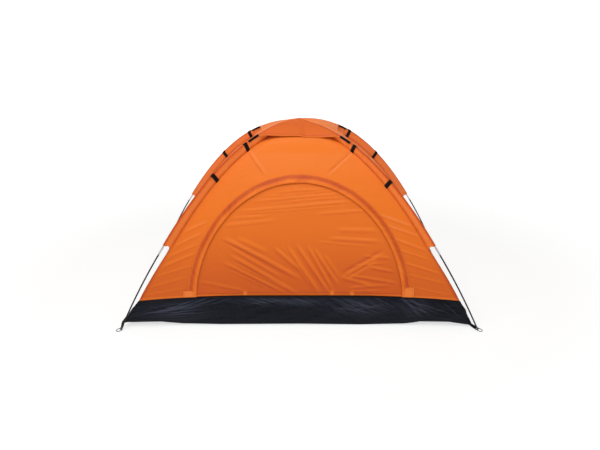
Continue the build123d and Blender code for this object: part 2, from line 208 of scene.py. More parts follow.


# %% [markdown]
# The orange cloth is thin woven polyester with a coating. Close to, it has a fine plain weave. From
# a few steps away it shows soft crinkles where it was folded in its bag, and it looks duller where
# two or three layers are sewn together, because less light comes back out of it. Each cloth mesh
# carries a "tone" attribute from -1 to +1 that darkens or lightens its colour. It holds the darker
# sewn seams, and also painted light: painted shade on the lower cloth, in creases and on shaded
# faces, and painted highlights on ridges and folded edges.

# %% Orange polyester
def orange_polyester(name, colour, deep, light):
    paint = Paint(name)
    flat = paint.coordinates("UV")
    tone = paint.attribute("tone")
    blotch = paint.noise(flat, 3.2, 3.0)
    thread = paint.waves(flat, 0.0007, "X") + paint.waves(flat, 0.0007, "Y")
    crinkle = paint.noise(paint.stretched(flat, (1.0, 2.2, 1.0), 0.35), 13.0, 3.0, 0.55, 0.6)
    fine = paint.ridged(paint.stretched(flat, (1.5, 1.0, 1.0), -0.5), 34.0)
    plain = paint.mix((blotch * 0.7 + 0.1).clamp(), colour, tuple(c * 0.92 for c in colour[:3]) + (1,))
    # Negative tone mixes towards the deep colour, for sewn layers and for painted shade; positive tone mixes
    # towards the light colour, as painted highlight.
    darker = paint.mix((tone * -1.0).clamp(), plain, deep)
    toned_with_painted_light = paint.mix(tone.clamp(), darker, light)
    coarse = paint.bump(crinkle, 0.006, 0.55)
    medium = paint.bump(fine, 0.0016, 0.35, coarse)
    woven = paint.bump(thread, 0.00012, 0.25, medium)
    rough = 0.46 + 0.16 * blotch - 0.08 * fine
    return paint.finish(
        {"Base Color": toned_with_painted_light, "Roughness": rough, "Normal": woven},
        sheen_weight=0.04, sheen_roughness=0.5, ior=1.45, specular_ior_level=0.22,
    )


ORANGE = (0.90, 0.196, 0.016, 1)
# The deep red is for thick seams and painted shade, the pale orange for painted highlights.
orange = orange_polyester("orange_polyester", ORANGE, (0.47, 0.034, 0.010, 1), (1.0, 0.33, 0.125, 1))
print("made", orange.name)

# %% [markdown]
# The tub is laminated sheet woven from flat plastic tapes about 3 mm wide. It is stiff and creases
# into sharp facets. The cool glints along them are painted highlights, carried by the tone attribute.

# %% Groundsheet, mesh and webbing
def groundsheet_finish():
    paint = Paint("woven_tub_sheet")
    flat = paint.coordinates("UV")
    tapes = paint.waves(flat, 0.003, "X") * paint.waves(flat, 0.003, "Y")
    facets = paint.ridged(paint.stretched(flat, (1.0, 1.9, 1.0), 0.2), 9.0, 4.0)
    small = paint.ridged(paint.stretched(flat, (1.0, 1.4, 1.0), -0.4), 31.0, 3.0)
    dust = paint.noise(flat, 5.0, 4.0)
    tone = paint.attribute("tone")
    plain = paint.mix(dust, (0.0040, 0.0046, 0.0085, 1), (0.0075, 0.0083, 0.0145, 1))
    # Positive tone mixes in a pale blue-grey: painted highlights on the creases.
    colour = paint.mix(tone.clamp(), plain, (0.105, 0.115, 0.170, 1))
    folded = paint.bump(facets, 0.010, 0.5)
    creased = paint.bump(small, 0.0028, 0.5, folded)
    woven = paint.bump(tapes, 0.00015, 0.3, creased)
    rough = 0.30 + 0.22 * dust
    return paint.finish({"Base Color": colour, "Roughness": rough, "Normal": woven}, specular_ior_level=0.12)


def mesh_finish():
    paint = Paint("insect_mesh")
    flat = paint.coordinates("UV")
    across = paint.waves(flat, 0.0016, "X")
    along = paint.waves(flat, 0.0016, "Y")
    thread = across.math("MAXIMUM", across, along)
    cover = ((thread - 0.55) * 8.0).clamp()
    inputs = {"Base Color": (0.03, 0.03, 0.032, 1), "Roughness": 0.6 + 0.2 * thread, "Alpha": cover}
    return paint.finish(inputs)


def webbing_finish():
    paint = Paint("black_webbing")
    place = paint.coordinates("Object")
    slant = paint.stretched(place, (1, 1, 1), 0.6435)
    rib = paint.waves(slant, 0.0016, "Z") + 0.6 * paint.waves(slant, 0.0022, "X")
    fluff = paint.noise(place, 160.0, 3.0)
    colour = paint.mix(fluff, (0.003, 0.003, 0.003, 1), (0.010, 0.009, 0.009, 1))
    bump = paint.bump(rib, 0.0004, 0.6)
    links = {"Base Color": colour, "Roughness": 0.70 + 0.2 * fluff, "Normal": bump}
    return paint.finish(links, specular_ior_level=0.12)


tub_finish = groundsheet_finish()
mesh_cloth = mesh_finish()
webbing = webbing_finish()
print("made", tub_finish.name, mesh_cloth.name, webbing.name)

# %% [markdown]
# Hard parts. The poles are pultruded fibreglass: long faint streaks along the rod and a satin skin.
# Ferrules and pins are zinc plated steel with turning marks. The peg rings are wire, blackened and
# rubbed bright in places. The shock cord has a braided cover.

# %% Fibreglass, steel, lacquer, zip and cord
def rod_finish():
    paint = Paint("fibreglass_rod")
    place = paint.coordinates("Object")
    streak = paint.noise(paint.stretched(place, (1, 1, 0.25)), 420.0, 2.0)
    wear = paint.noise(place, 14.0, 4.0)
    colour = paint.mix(streak, (0.006, 0.006, 0.007, 1), (0.016, 0.016, 0.018, 1))
    bump = paint.bump(streak, 0.0002, 0.3)
    rough = 0.30 + 0.22 * wear
    links = {"Base Color": colour, "Roughness": rough, "Normal": bump}
    return paint.finish(links, specular_ior_level=0.25)


def metal_finish(name, bright, dull, rough_low, wear_scale):
    paint = Paint(name)
    place = paint.coordinates("Object")
    wear = paint.noise(place, wear_scale, 4.0, 0.6)
    lathe = paint.noise(paint.stretched(place, (1, 1, 12)), 300.0, 1.0)
    colour = paint.mix(wear, bright, dull)
    bump = paint.bump(lathe, 0.00008, 0.3)
    rough = rough_low + 0.22 * wear
    return paint.finish({"Base Color": colour, "Roughness": rough, "Normal": bump}, metallic=1.0)


def zip_finish():
    paint = Paint("zip_tape")
    place = paint.coordinates("Object")
    rib = paint.waves(place, 0.0012, "Z")
    soil = paint.noise(place, 40.0, 3.0)
    colour = paint.mix(soil, (0.52, 0.10, 0.018, 1), (0.66, 0.15, 0.03, 1))
    bump = paint.bump(rib, 0.0003, 0.5)
    return paint.finish({"Base Color": colour, "Roughness": 0.5 + 0.2 * soil, "Normal": bump})


def cord_finish():
    paint = Paint("braided_cover")
    place = paint.coordinates("Object")
    braid = paint.waves(place, 0.0018, "DIAGONAL")
    colour = paint.mix(braid, (0.62, 0.62, 0.60, 1), (0.30, 0.30, 0.32, 1))
    bump = paint.bump(braid, 0.0003, 0.6)
    return paint.finish({"Base Color": colour, "Roughness": 0.6 + 0.2 * braid, "Normal": bump})


def thread_finish():
    paint = Paint("sewing_thread")
    place = paint.coordinates("Object")
    twist = paint.waves(place, 0.0006, "DIAGONAL")
    colour = paint.mix(twist, (0.78, 0.16, 0.03, 1), (0.92, 0.26, 0.06, 1))
    return paint.finish({"Base Color": colour, "Roughness": 0.5 + 0.2 * twist})


def wire_finish():
    paint = Paint("black_lacquered_wire")
    place = paint.coordinates("Object")
    chips = ((paint.noise(place, 180.0, 4.0, 0.6) - 0.62) * 9.0).clamp()
    colour = paint.mix(chips, (0.006, 0.006, 0.007, 1), (0.16, 0.15, 0.15, 1))
    links = {"Base Color": colour, "Roughness": 0.30 + 0.25 * chips, "Metallic": 0.8 * chips}
    return paint.finish(links, specular_ior_level=0.30)


rod = rod_finish()
steel = metal_finish("zinc_plated_steel", (0.80, 0.80, 0.81, 1), (0.58, 0.58, 0.60, 1), 0.20, 60.0)

ring_steel = wire_finish()
lacquer = metal_finish("black_lacquer", (0.04, 0.04, 0.045, 1), (0.10, 0.10, 0.10, 1), 0.25, 200.0)
zip_tape = zip_finish()
braid = cord_finish()
thread = thread_finish()

FINISH_OF_SLOT = {
    "fibreglass": rod, "steel": steel, "ring_steel": ring_steel, "webbing": webbing,
    "elastic": braid, "zip_coil": zip_tape, "zip_metal": lacquer, "mesh": mesh_cloth,
    "groundsheet": tub_finish, "orange_fabric": orange,
}
for entry in frame["record"]["subparts"]:
    node = frame["nodes"][entry["node"]]
    node.data.materials.clear()
    node.data.materials.append(FINISH_OF_SLOT[entry["material_slot"]])
print(len(frame["nodes"]), "nodes have a finish")

# %% [markdown]
# The pale floor is a disc that is far larger than the tent. It belongs to the studio.

# %% Studio floor
def studio_floor():
    paint = Paint("pale_floor")
    place = paint.coordinates("Object")
    cloud = paint.noise(place, 2.0, 3.0)
    distance = paint.node("ShaderNodeVectorMath", {"operation": "LENGTH"}, {0: place}, "Value")
    far = ((distance - 1.6) * 0.35).clamp()
    light = paint.mix(far, (0.66, 0.66, 0.66, 1), (0.95, 0.95, 0.95, 1))
    links = {"Base Color": (0.48, 0.48, 0.48, 1), "Emission Color": light, "Roughness": 0.75 + 0.1 * cloud}
    paint.finish(links, emission_strength=1.0)
    mesh = bpy.data.meshes.new("floor")
    turns = [math.tau * step / 96 for step in range(96)]
    mesh.from_pydata([(900 * math.cos(a), 900 * math.sin(a), 0) for a in turns], [], [range(96)])
    mesh.materials.append(paint.material)
    floor = bpy.data.objects.new("floor", mesh)
    bpy.context.scene.collection.objects.link(floor)


studio_floor()

# %% [markdown]
# The tent's shape is one rule. Each wall is a parabola in profile, so at a height z it has come in
# from its full reach by sqrt(1 - z / top), and the four walls meet in curved seams under the poles.
# The rule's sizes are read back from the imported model, so that cloth and poles share one frame.

# %% The tent's measurements
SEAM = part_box("groundsheet")[1].z
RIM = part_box("roof_mesh")[0].z
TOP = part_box("roof_mesh")[1].z


def closeness(height):
    """How far out a wall is at a height, 1 at the ground and 0 at the top."""
    return np.sqrt(np.clip(1.0 - np.asarray(height) / TOP, 0.0, 1.0))


WALL_TOP = RIM + 0.016
HALF_X = -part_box("left_wall")[0].x / float(closeness(SEAM))
HALF_Y = -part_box("front_wall")[0].y / float(closeness(SEAM))
POLE_R = 0.00425
FOOT = FEET_APART / 2, 0.75
POLE_END = 0.015
POLE_TOPS = {
    "a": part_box("pole_a_section_4")[1].z - POLE_R,
    "b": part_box("pole_b_section_4")[1].z - POLE_R,
}
ARCH_X, ARCH_Z = 0.604, 0.614
CORNERS = {"front_left": (-1, -1), "front_right": (1, -1), "rear_left": (-1, 1), "rear_right": (1, 1)}
print("walls reach", round(HALF_X, 4), round(HALF_Y, 4))
print("seam, rim and top", [round(height, 4) for height in (SEAM, RIM, TOP)])
print("pole tops", {key: round(value, 4) for key, value in POLE_TOPS.items()})

# %% [markdown]
# Sewn cloth is never smooth. Its folds are short soft ridges that start at a stitched corner or a
# tight seam and fade out. They could be painted as bumps only, but a real ridge also changes the
# outline and catches light from the side, so the larger ones are moved vertices. Each fold is a line
# from one place to another with a width and a height.

# %% Soft folds
def ease(value):
    value = np.clip(value, 0.0, 1.0)
    return value * value * (3.0 - 2.0 * value)


def from_millimetres(*rows):
    """Fold lines from rows of start across, start up, end across, end up, width and height."""
    return [((a / 1000, b / 1000), (c / 1000, d / 1000), w / 1000, h / 1000) for a, b, c, d, w, h in rows]


def folds(across, up, lines):
    """Height of soft ridges. A line is (start, end, width, height)."""
    total = np.zeros_like(across)
    for (start_x, start_z), (end_x, end_z), width, height in lines:
        run_x, run_z = end_x - start_x, end_z - start_z
        length = math.hypot(run_x, run_z)
        along = ((across - start_x) * run_x + (up - start_z) * run_z) / length**2
        aside = ((across - start_x) * run_z - (up - start_z) * run_x) / length
        fade = ease(along * 4.0 + 0.5) * ease((1.0 - along) * 3.0 + 0.2)
        narrow = 0.56 * width
        ridge = np.exp(-((aside / narrow) ** 2)) - 0.5 * np.exp(-(((aside - 1.8 * narrow) / narrow) ** 2))
        total += height * ridge * fade
    return total


def fan(centre, angles, reach, width, height, seed):
    """Folds that spread out from one stitched point, angles in degrees."""
    chance = np.random.default_rng(seed)
    lines = []
    for angle in angles:
        turn = math.radians(angle + chance.uniform(-3, 3))
        far = reach * chance.uniform(0.6, 1.1)
        near = 0.02 * chance.uniform(0.3, 1.5)
        start = (centre[0] + near * math.cos(turn), centre[1] + near * math.sin(turn))
        end = (centre[0] + far * math.cos(turn), centre[1] + far * math.sin(turn))
        lines.append((start, end, width * chance.uniform(0.7, 1.3), height * chance.uniform(0.6, 1.2)))
    return lines


def ripples(across, up, size, stretch, angle, seed, count=14):
    """Random soft waves of about one size, longer along one direction. Mostly between -1 and 1."""
    chance = np.random.default_rng(seed)
    turn = math.radians(angle)
    long = across * math.cos(turn) + up * math.sin(turn)
    short = -across * math.sin(turn) + up * math.cos(turn)
    total = np.zeros_like(across)
    for _ in range(count):
        heading = chance.normal(0.0, 0.35)
        pitch = size * chance.uniform(0.6, 1.7)
        phase = short * math.cos(heading) + long / stretch + long * math.sin(heading) / stretch
        total += np.sin(math.tau * phase / pitch + chance.uniform(0, math.tau))
    return total / math.sqrt(count) * 0.7


def pull(value, limit, soft):
    """1 where value is well below limit, 0 well above it."""
    return 1.0 - ease((value - limit) / soft + 0.5)


def fold_shade(height, strength=0.30):
    """Painted highlight on a fold's ridge and painted shade in its crease, so tone follows the folds a
    little.
    """
    return strength * np.tanh(height / 0.003)


# %% [markdown]
# Every cloth piece is made by one function. It takes a grid of points, their flat place on the
# uncut cloth for the weave, and their tone, and gives the sheet a thickness with Solidify, inwards
# from the side that shows. The walls bend one way only, so a wall unrolls without stretching: metres
# across it and metres of climb are its pattern. The area of that pattern is printed next to the area
# of the shaped mesh, so comparing them shows any stretching. Its seam allowance is summed in too,
# but that sum isn't kept.

# %% Making a piece of cloth
def grid_faces(rows, columns):
    index = np.arange(rows * columns).reshape(rows, columns)
    corners = (index[:-1, :-1], index[:-1, 1:], index[1:, 1:], index[1:, :-1])
    return np.stack([corner.ravel() for corner in corners], axis=1)


def square_grid(rows, columns):
    """Places from -1 to 1 across and along a sheet."""
    wide = np.linspace(-1.0, 1.0, columns)[None, :] + np.zeros((rows, 1))
    deep = np.linspace(-1.0, 1.0, rows)[:, None] + np.zeros((1, columns))
    return wide, deep


def cloth(name, points, faces, flat, tone, finish, body="tent", thickness=0.0006, flip=False):
    mesh = bpy.data.meshes.new(name)
    if flip:
        faces = faces[:, ::-1]
    mesh.from_pydata(points.reshape(-1, 3).tolist(), [], faces.tolist())
    corner = np.zeros(len(mesh.loops), dtype=np.int32)
    mesh.loops.foreach_get("vertex_index", corner)
    layer = mesh.uv_layers.new(name="UVMap")
    layer.data.foreach_set("uv", flat.reshape(-1, 2)[corner].astype(np.float32).ravel())
    shade = mesh.attributes.new("tone", "FLOAT", "POINT")
    shade.data.foreach_set("value", np.clip(tone, -1, 1).astype(np.float32).ravel())
    mesh.polygons.foreach_set("use_smooth", [True] * len(mesh.polygons))
    mesh.materials.append(finish)
    piece = bpy.data.objects.new(name, mesh)
    bpy.context.scene.collection.objects.link(piece)
    layer = piece.modifiers.new("thickness", "SOLIDIFY")
    layer.thickness = thickness
    layer.offset = -1.0
    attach(piece, body)
    return piece


SEAM_ALLOWANCE = 0.006


def pattern_of(piece):
    """Size, area and rim of the flat pattern, from each face's place on the uncut cloth."""
    mesh = piece.data
    places = np.zeros(2 * len(mesh.loops), dtype=np.float32)
    corner = np.zeros(len(mesh.loops), dtype=np.int32)
    mesh.uv_layers["UVMap"].data.foreach_get("uv", places)
    mesh.loops.foreach_get("vertex_index", corner)
    places = places.reshape(-1, 4, 2).astype(float)
    corner = corner.reshape(-1, 4)
    x, y = places[..., 0], places[..., 1]
    doubled = (x * np.roll(y, -1, axis=1) - y * np.roll(x, -1, axis=1)).sum(axis=1)
    ends = np.sort(np.stack([corner, np.roll(corner, -1, axis=1)], axis=-1), axis=-1).reshape(-1, 2)
    _, found, uses = np.unique(ends, axis=0, return_index=True, return_counts=True)
    lengths = np.linalg.norm(places - np.roll(places, -1, axis=1), axis=-1).ravel()
    reach = places.reshape(-1, 2).max(axis=0) - places.reshape(-1, 2).min(axis=0)
    return reach, float(np.abs(doubled).sum() / 2), float(lengths[found[uses == 1]].sum())


def declare(piece, nodes):
    """Hides the parts that the piece replaces and prints the area of its flat pattern and of its shaped
    mesh.
    """
    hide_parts(*nodes)
    reach, area, rim = pattern_of(piece)
    shaped = sum(face.area for face in piece.data.polygons)
    print(piece.name, "pattern", round(area, 4), "shaped", round(shaped, 4))
    area + rim * SEAM_ALLOWANCE


# %% [markdown]
# A wall point is found from how far across the wall it is and how high. The bottom seam isn't level:
# the pegged corners pull it down a little, so the whole lower edge of the cloth droops towards them.

# %% Places on a wall
FLARE = 0.022
ROOF_LIFT = 0.028


def droop(share):
    return -0.018 * np.abs(share) ** 3.5


def on_wall(side, across, height, out):
    """Points of a wall from metres across it, height and distance outwards."""
    reach_across = HALF_X if side in ("front", "rear") else HALF_Y
    reach_out = HALF_Y if side in ("front", "rear") else HALF_X
    share = across / (reach_across * closeness(height))
    near_seam = 1.0 - ease((height - SEAM) / 0.35)
    low = height + droop(share) * near_seam
    share_x = across * closeness(low) / closeness(height)
    share_x = share_x + np.sign(across) * FLARE * np.abs(share) ** 5 * near_seam
    distance = reach_out * closeness(low) + FLARE * np.abs(share) ** 5 * near_seam
    out = out + ROOF_LIFT * ease((height - 0.90) / 0.07) * (1.0 - np.minimum(np.abs(share), 1.0) ** 4)
    slope = reach_out / (2.0 * TOP * np.maximum(closeness(low), 0.12))
    size = np.sqrt(1.0 + slope**2)
    outward, lift = 1.0 / size, slope / size
    away = distance + out * outward
    up = low + out * lift
    if side == "front":
        return np.stack([share_x, -away, up], axis=-1)
    if side == "rear":
        return np.stack([-share_x, away, up], axis=-1)
    if side == "left":
        return np.stack([-away, -share_x, up], axis=-1)
    return np.stack([away, share_x, up], axis=-1)


def climb(side, height):
    """Length of cloth from the seam up to a height, for the weave."""
    reach_out = HALF_Y if side in ("front", "rear") else HALF_X
    steps = np.linspace(SEAM - 0.02, TOP, 400)
    away = reach_out * closeness(steps)
    length = np.concatenate([[0.0], np.cumsum(np.hypot(np.diff(steps), np.diff(away)))])
    return np.interp(height, steps, length)


# %% [markdown]
# The front wall is one panel with an arched doorway cut out. A ring of rows runs from the edge of
# the doorway to the panel's own edge, so the rows follow the arch, where the cloth is pulled most.
# Both jambs have level tension folds that rise towards the door, and two folds come down from the
# upper webbing tabs to the arch.

# %% Front wall
def ray_to_edge(turn):
    """How many times the arch's size a ray from the middle of its foot runs to the panel's edge."""
    low, high = 1.0, 3.0
    rim_limit = (WALL_TOP - SEAM) / (ARCH_Z * max(math.sin(turn), 1e-6))
    for _ in range(40):
        middle = (low + high) / 2
        height = min(SEAM + middle * ARCH_Z * math.sin(turn), WALL_TOP)
        if middle * ARCH_X * abs(math.cos(turn)) < HALF_X * float(closeness(height)):
            low = middle
        else:
            high = middle
    return min(low, rim_limit)


corner_turn = math.atan2((WALL_TOP - SEAM) / ARCH_Z, HALF_X * float(closeness(WALL_TOP)) / ARCH_X)
side_turns = np.linspace(0.0, corner_turn, 151)
top_turns = np.linspace(corner_turn, math.pi - corner_turn, 61)[1:-1]
turns = np.concatenate([side_turns, top_turns, math.pi - side_turns[::-1]])

FRONT_FOLDS = from_millimetres(
    (-765, 335, -585, 400, 10, 3.2), (-735, 385, -575, 445, 9, 2.9), (-785, 290, -600, 335, 8, 2.3),
    (-700, 440, -560, 500, 10, 3.2), (-655, 510, -530, 560, 11, 2.5), (-820, 235, -630, 275, 8, 2.1),
    (-840, 195, -650, 215, 7, 1.7), (480, 590, 650, 535, 11, 3.2), (515, 535, 700, 480, 10, 3),
    (550, 470, 730, 410, 10, 3.2), (565, 415, 745, 365, 8, 2.5), (590, 350, 790, 300, 9, 2.9),
    (600, 290, 820, 250, 8, 2.3), (620, 225, 850, 190, 7, 1.9), (-290, 915, -195, 800, 12, 3.6),
    (305, 900, 170, 795, 12, 3.6),
)


def front_relief(across, height):
    """How far the front wall stands out, for its panel and everything sewn on it."""
    share = np.abs(across) / (HALF_X * closeness(height))
    slack = (1.0 - share**6) * ease((height - SEAM) / 0.10)
    out = folds(across, height, FRONT_FOLDS)
    out += 0.0005 * ripples(across, height, 0.060, 4.0, 8.0, 3) * ease((np.abs(across) - 0.45) / 0.15)
    out += 0.0008 * ripples(across, height, 0.130, 2.0, 20.0, 4)
    seamwards = (1.0 - ease((1.0 - share) / 0.10)) * 0.0008
    out += seamwards * ripples(across, height, 0.030, 4.0, 80.0, 5)
    return out * slack * 1.5


def front_panel():
    rows = 54
    steps = (np.linspace(0.0, 1.0, rows) ** 1.15)[:, None]
    grow = np.array([ray_to_edge(turn) for turn in turns])[None, :]
    size = 1.0025 + (grow - 1.0025) * steps
    across = ARCH_X * size * np.cos(turns)[None, :]
    height = SEAM + ARCH_Z * size * np.sin(turns)[None, :]
    points = on_wall("front", across, height, front_relief(across, height))
    flat = np.stack([across, climb("front", height)], axis=-1)
    share = np.abs(across) / (HALF_X * closeness(height))
    # Tone: the folded hem is painted lighter as a highlight, the corner seams darker, the lower cloth is
    # darkened with painted shade, and the folds get painted highlights on their ridges and painted shade in
    # their creases.
    hem = pull(height - SEAM, 0.010, 0.006) * 0.35
    edge = ease((share - 0.975) / 0.02) * 0.35
    low = 0.40 * pull(height, 0.38, 0.42)
    tone = hem - edge - low + fold_shade(folds(across, height, FRONT_FOLDS), 0.36)
    piece = cloth("front_wall_cloth", points, grid_faces(rows, len(turns)), flat, tone, orange, flip=True)
    declare(piece, ["front_wall"])


front_panel()

# %% [markdown]
# The door is a half oval, hinged along its bottom hem and zipped round its arch. It is slack, because
# the zip carries no tension, so it has long folds that hang across it, shallow level ones below the
# top of the arch, and puckers that spread from the stitched points on its bottom hem.

# %% Door
DOOR_FOLDS = from_millimetres(
    (-400, 462, 10, 262, 15, 5), (-370, 372, 0, 178, 13, 4.6), (-415, 340, -80, 186, 12, 3.8),
    (-385, 420, -90, 262, 12, 3), (-130, 415, 10, 306, 15, 4), (-345, 470, -180, 405, 18, 2.2),
    (-55, 415, 120, 182, 16, 3.8), (0, 425, 175, 184, 14, 4.2), (60, 420, 200, 192, 13, 3.6),
    (100, 405, 228, 225, 15, 3.4), (150, 380, 240, 262, 14, 2.2), (470, 388, 245, 272, 16, 4.2),
    (430, 345, 265, 250, 12, 2.6), (250, 268, 420, 225, 14, 3.2), (300, 215, 520, 232, 12, 2.6),
    (190, 474, 480, 458, 14, 3), (230, 520, 470, 515, 16, 2.4), (290, 278, 560, 242, 12, 3.2),
    (410, 322, 545, 300, 11, 3.4), (380, 380, 530, 372, 12, 2.4), (-300, 618, 380, 672, 11, 2.6),
    (-230, 668, 290, 708, 9, 2.4), (-120, 712, 170, 732, 8, 2), (-60, 665, 330, 692, 8, 2),
    (-433, 540, -120, 572, 14, 2), (120, 604, 435, 622, 12, 2.4), (-380, 578, -180, 590, 11, 1.8),
    (-560, 250, -300, 195, 12, 2), (-440, 470, -120, 330, 8, 2), (-350, 330, -40, 190, 8, 2.6),
    (-390, 300, -160, 200, 7, 2.2), (-90, 420, 80, 205, 8, 2.6), (320, 330, 500, 345, 8, 2.2),
    (300, 195, 460, 200, 8, 2), (120, 455, 400, 430, 8, 1.8), (-330, 600, 300, 646, 7, 2),
    (-180, 690, 220, 722, 6, 1.6),
)
HEM_POINTS = ((-0.309, 0.180), (0.187, 0.182), (0.301, 0.178))


def door_relief(across, height):
    rim = 1.0 - np.hypot(across / ARCH_X, (height - SEAM) / ARCH_Z)
    free = ease(rim / 0.10) * ease((height - SEAM) / 0.07 + 0.10)
    out = folds(across, height, DOOR_FOLDS)
    for place, centre in enumerate(HEM_POINTS):
        out += folds(across, height, fan(centre, range(40, 150, 27), 0.07, 0.006, 0.0016, 40 + place))
    out += 0.0009 * ripples(across, height, 0.075, 4.5, -27.0, 11) * pull(height, 0.50, 0.20)
    out += 0.0007 * ripples(across, height, 0.040, 7.0, 5.0, 12) * (1.0 - pull(height, 0.58, 0.10))
    return 1.45 * out * free - 0.010 * ease(rim / 0.5) - 0.0005


def door_cloth():
    rows, columns = 116, 200
    wide = np.linspace(-1.0, 1.0, columns)[None, :]
    tall = np.linspace(0.0, 1.0, rows)[:, None]
    across = (ARCH_X - 0.0016) * wide * np.sqrt(1.0 - tall**2 / 2)
    height = SEAM + 0.003 + (ARCH_Z - 0.0046) * tall * np.sqrt(1.0 - wide**2 / 2)
    relief = door_relief(across, height)
    points = on_wall("front", across, height, relief)
    flat = np.stack([across, climb("front", height)], axis=-1)
    # Tone: a lighter hem band painted as a highlight with a dark painted shadow line above it, the whole
    # door a little darker with painted shade growing towards the bottom, bright bar tacks, and painted
    # highlights and shade along the folds.
    hem = pull(height - SEAM, 0.014, 0.004) * 0.30 - pull(np.abs(height - SEAM - 0.017), 0.002, 0.003) * 0.35
    lower = -0.12 - 0.40 * pull(height, 0.36, 0.42)
    tack = np.zeros_like(across)
    for centre in HEM_POINTS:
        tack += np.exp(-(((across - centre[0]) / 0.010) ** 2) - ((height - centre[1]) / 0.012) ** 2)
    rim = 1.0 - np.hypot(across / ARCH_X, (height - SEAM) / ARCH_Z)
    shade = fold_shade(folds(across, height, DOOR_FOLDS) * ease(rim / 0.10), 0.36)
    tone = hem + lower + 0.9 * tack + shade
    piece = cloth("door_cloth", points, grid_faces(rows, columns), flat, tone, orange, "door")
    declare(piece, ["door_panel"])


door_cloth()

# %% [markdown]
# The storm flap is a folded strip sewn round the doorway on its outer edge only, so that rain runs
# over the zip. Where it is sewn, three layers lie in a groove that is painted darker, partly for the
# layers and partly as painted shade. From there it bulges into a soft ridge, and its free folded edge
# stands off the door and throws a thin shadow, which is also painted into its tone as a dark line.

# %% Storm flap
FLAP_OUT = 0.628, 0.637
FLAP_IN = 0.580, 0.590
# Rows from the sewn edge to the free edge: share of the width, how far the strip stands out, and its tone.
# The tone darkens the groove, partly for the sewn layers and partly as painted shade, and paints a shadow
# line at the free edge.
FLAP_PROFILE = (
    (0.00, 0.0010, -0.10), (0.07, 0.0014, -0.32), (0.15, 0.0012, -0.56), (0.24, 0.0014, -0.68),
    (0.34, 0.0026, -0.70), (0.44, 0.0046, -0.55), (0.54, 0.0064, -0.36), (0.64, 0.0076, -0.16),
    (0.74, 0.0080, -0.06), (0.84, 0.0078, -0.08), (0.93, 0.0072, -0.16), (0.98, 0.0060, -0.50),
    (1.00, 0.0040, -0.95), (0.985, 0.0028, -1.0),
)


def storm_flap():
    columns = 420
    turn = np.linspace(0.0, math.pi, columns)[None, :]
    steps = np.array([row[0] for row in FLAP_PROFILE])[:, None]
    stand = np.array([row[1] for row in FLAP_PROFILE])[:, None]
    shade = np.array([row[2] for row in FLAP_PROFILE])[:, None]
    across = (FLAP_OUT[0] + (FLAP_IN[0] - FLAP_OUT[0]) * steps) * np.cos(turn)
    height = SEAM + (FLAP_OUT[1] + (FLAP_IN[1] - FLAP_OUT[1]) * steps) * np.sin(turn)
    round_arch = turn * 0.95 + np.zeros_like(steps)
    pucker = ripples(round_arch, steps * 0.05 + 0 * turn, 0.060, 0.9, 90.0, 21)
    wobble = ripples(round_arch, steps * 0.02 + 0 * turn, 0.25, 0.9, 90.0, 22)
    lively = ease(steps / 0.5) * pull(steps, 1.05, 0.1)
    pressed = 0.40 + 0.60 * ease((height - SEAM - 0.015) / 0.05)
    out = stand * pressed * (1.0 + 0.18 * wobble) + 0.0007 * pucker * lively + 0.0007
    base = front_relief(across, height) * (1.0 - steps)
    points = on_wall("front", across, height, base + out)
    middle_x = (FLAP_OUT[0] + FLAP_IN[0]) / 2 * np.cos(turn[0])
    middle_z = climb("front", SEAM + (FLAP_OUT[1] + FLAP_IN[1]) / 2 * np.sin(turn[0]))
    along = np.concatenate([[0.0], np.cumsum(np.hypot(np.diff(middle_x), np.diff(middle_z)))])
    span_of_step = (FLAP_OUT[0] - FLAP_IN[0]) * steps[:, 0]
    strip = np.concatenate([[0.0], np.cumsum(np.hypot(np.diff(span_of_step), np.diff(stand[:, 0])))])
    flat = np.stack([along[None, :] + 0 * steps, strip[:, None] + 0 * turn], axis=-1)
    # Puckers and the slow wobble are also painted into the tone as light and shade.
    tone = shade + 0.05 * pucker + 0.12 * wobble * ease(steps / 0.5)
    piece = cloth(
        "door_storm_flap_cloth", points, grid_faces(len(FLAP_PROFILE), columns), flat, tone, orange,
        thickness=0.0010,
    )
    declare(piece, ["door_storm_flap"])


storm_flap()

# %% [markdown]
# The side walls and the rear wall are plain panels between two corner seams. They hang a little
# slack between the poles, so their middles sink inwards, and the seams gather small folds.

# %% Side and rear walls
def plain_relief(side, across, height, seed):
    reach = HALF_X if side == "rear" else HALF_Y
    share = np.abs(across) / (reach * closeness(height))
    tall = (height - SEAM) / (RIM - SEAM)
    calm = (1.0 - share**4) * ease(tall / 0.12) * ease((1.0 - tall) / 0.10)
    lines = []
    for sign in (-1, 1):
        for z, lift in ((0.22, 0.03), (0.30, 0.05), (0.40, 0.05), (0.52, 0.05), (0.63, 0.04), (0.76, 0.02)):
            corner_x = sign * reach * float(closeness(z))
            lines.append(((0.88 * corner_x, z), (0.45 * corner_x, z + lift), 0.013, 0.0030))
    lines += fan((0.0, SEAM), range(30, 160, 24), 0.28, 0.014, 0.0030, seed)
    out = folds(across, height, lines)
    out += 0.0020 * ripples(across, height, 0.110, 2.6, 12.0, seed + 1)
    out += 0.0010 * ripples(across, height, 0.050, 3.5, -30.0, seed + 2)
    return (out - 0.012 * (1.0 - share**2) * np.sin(math.pi * np.clip(tall, 0, 1))) * calm


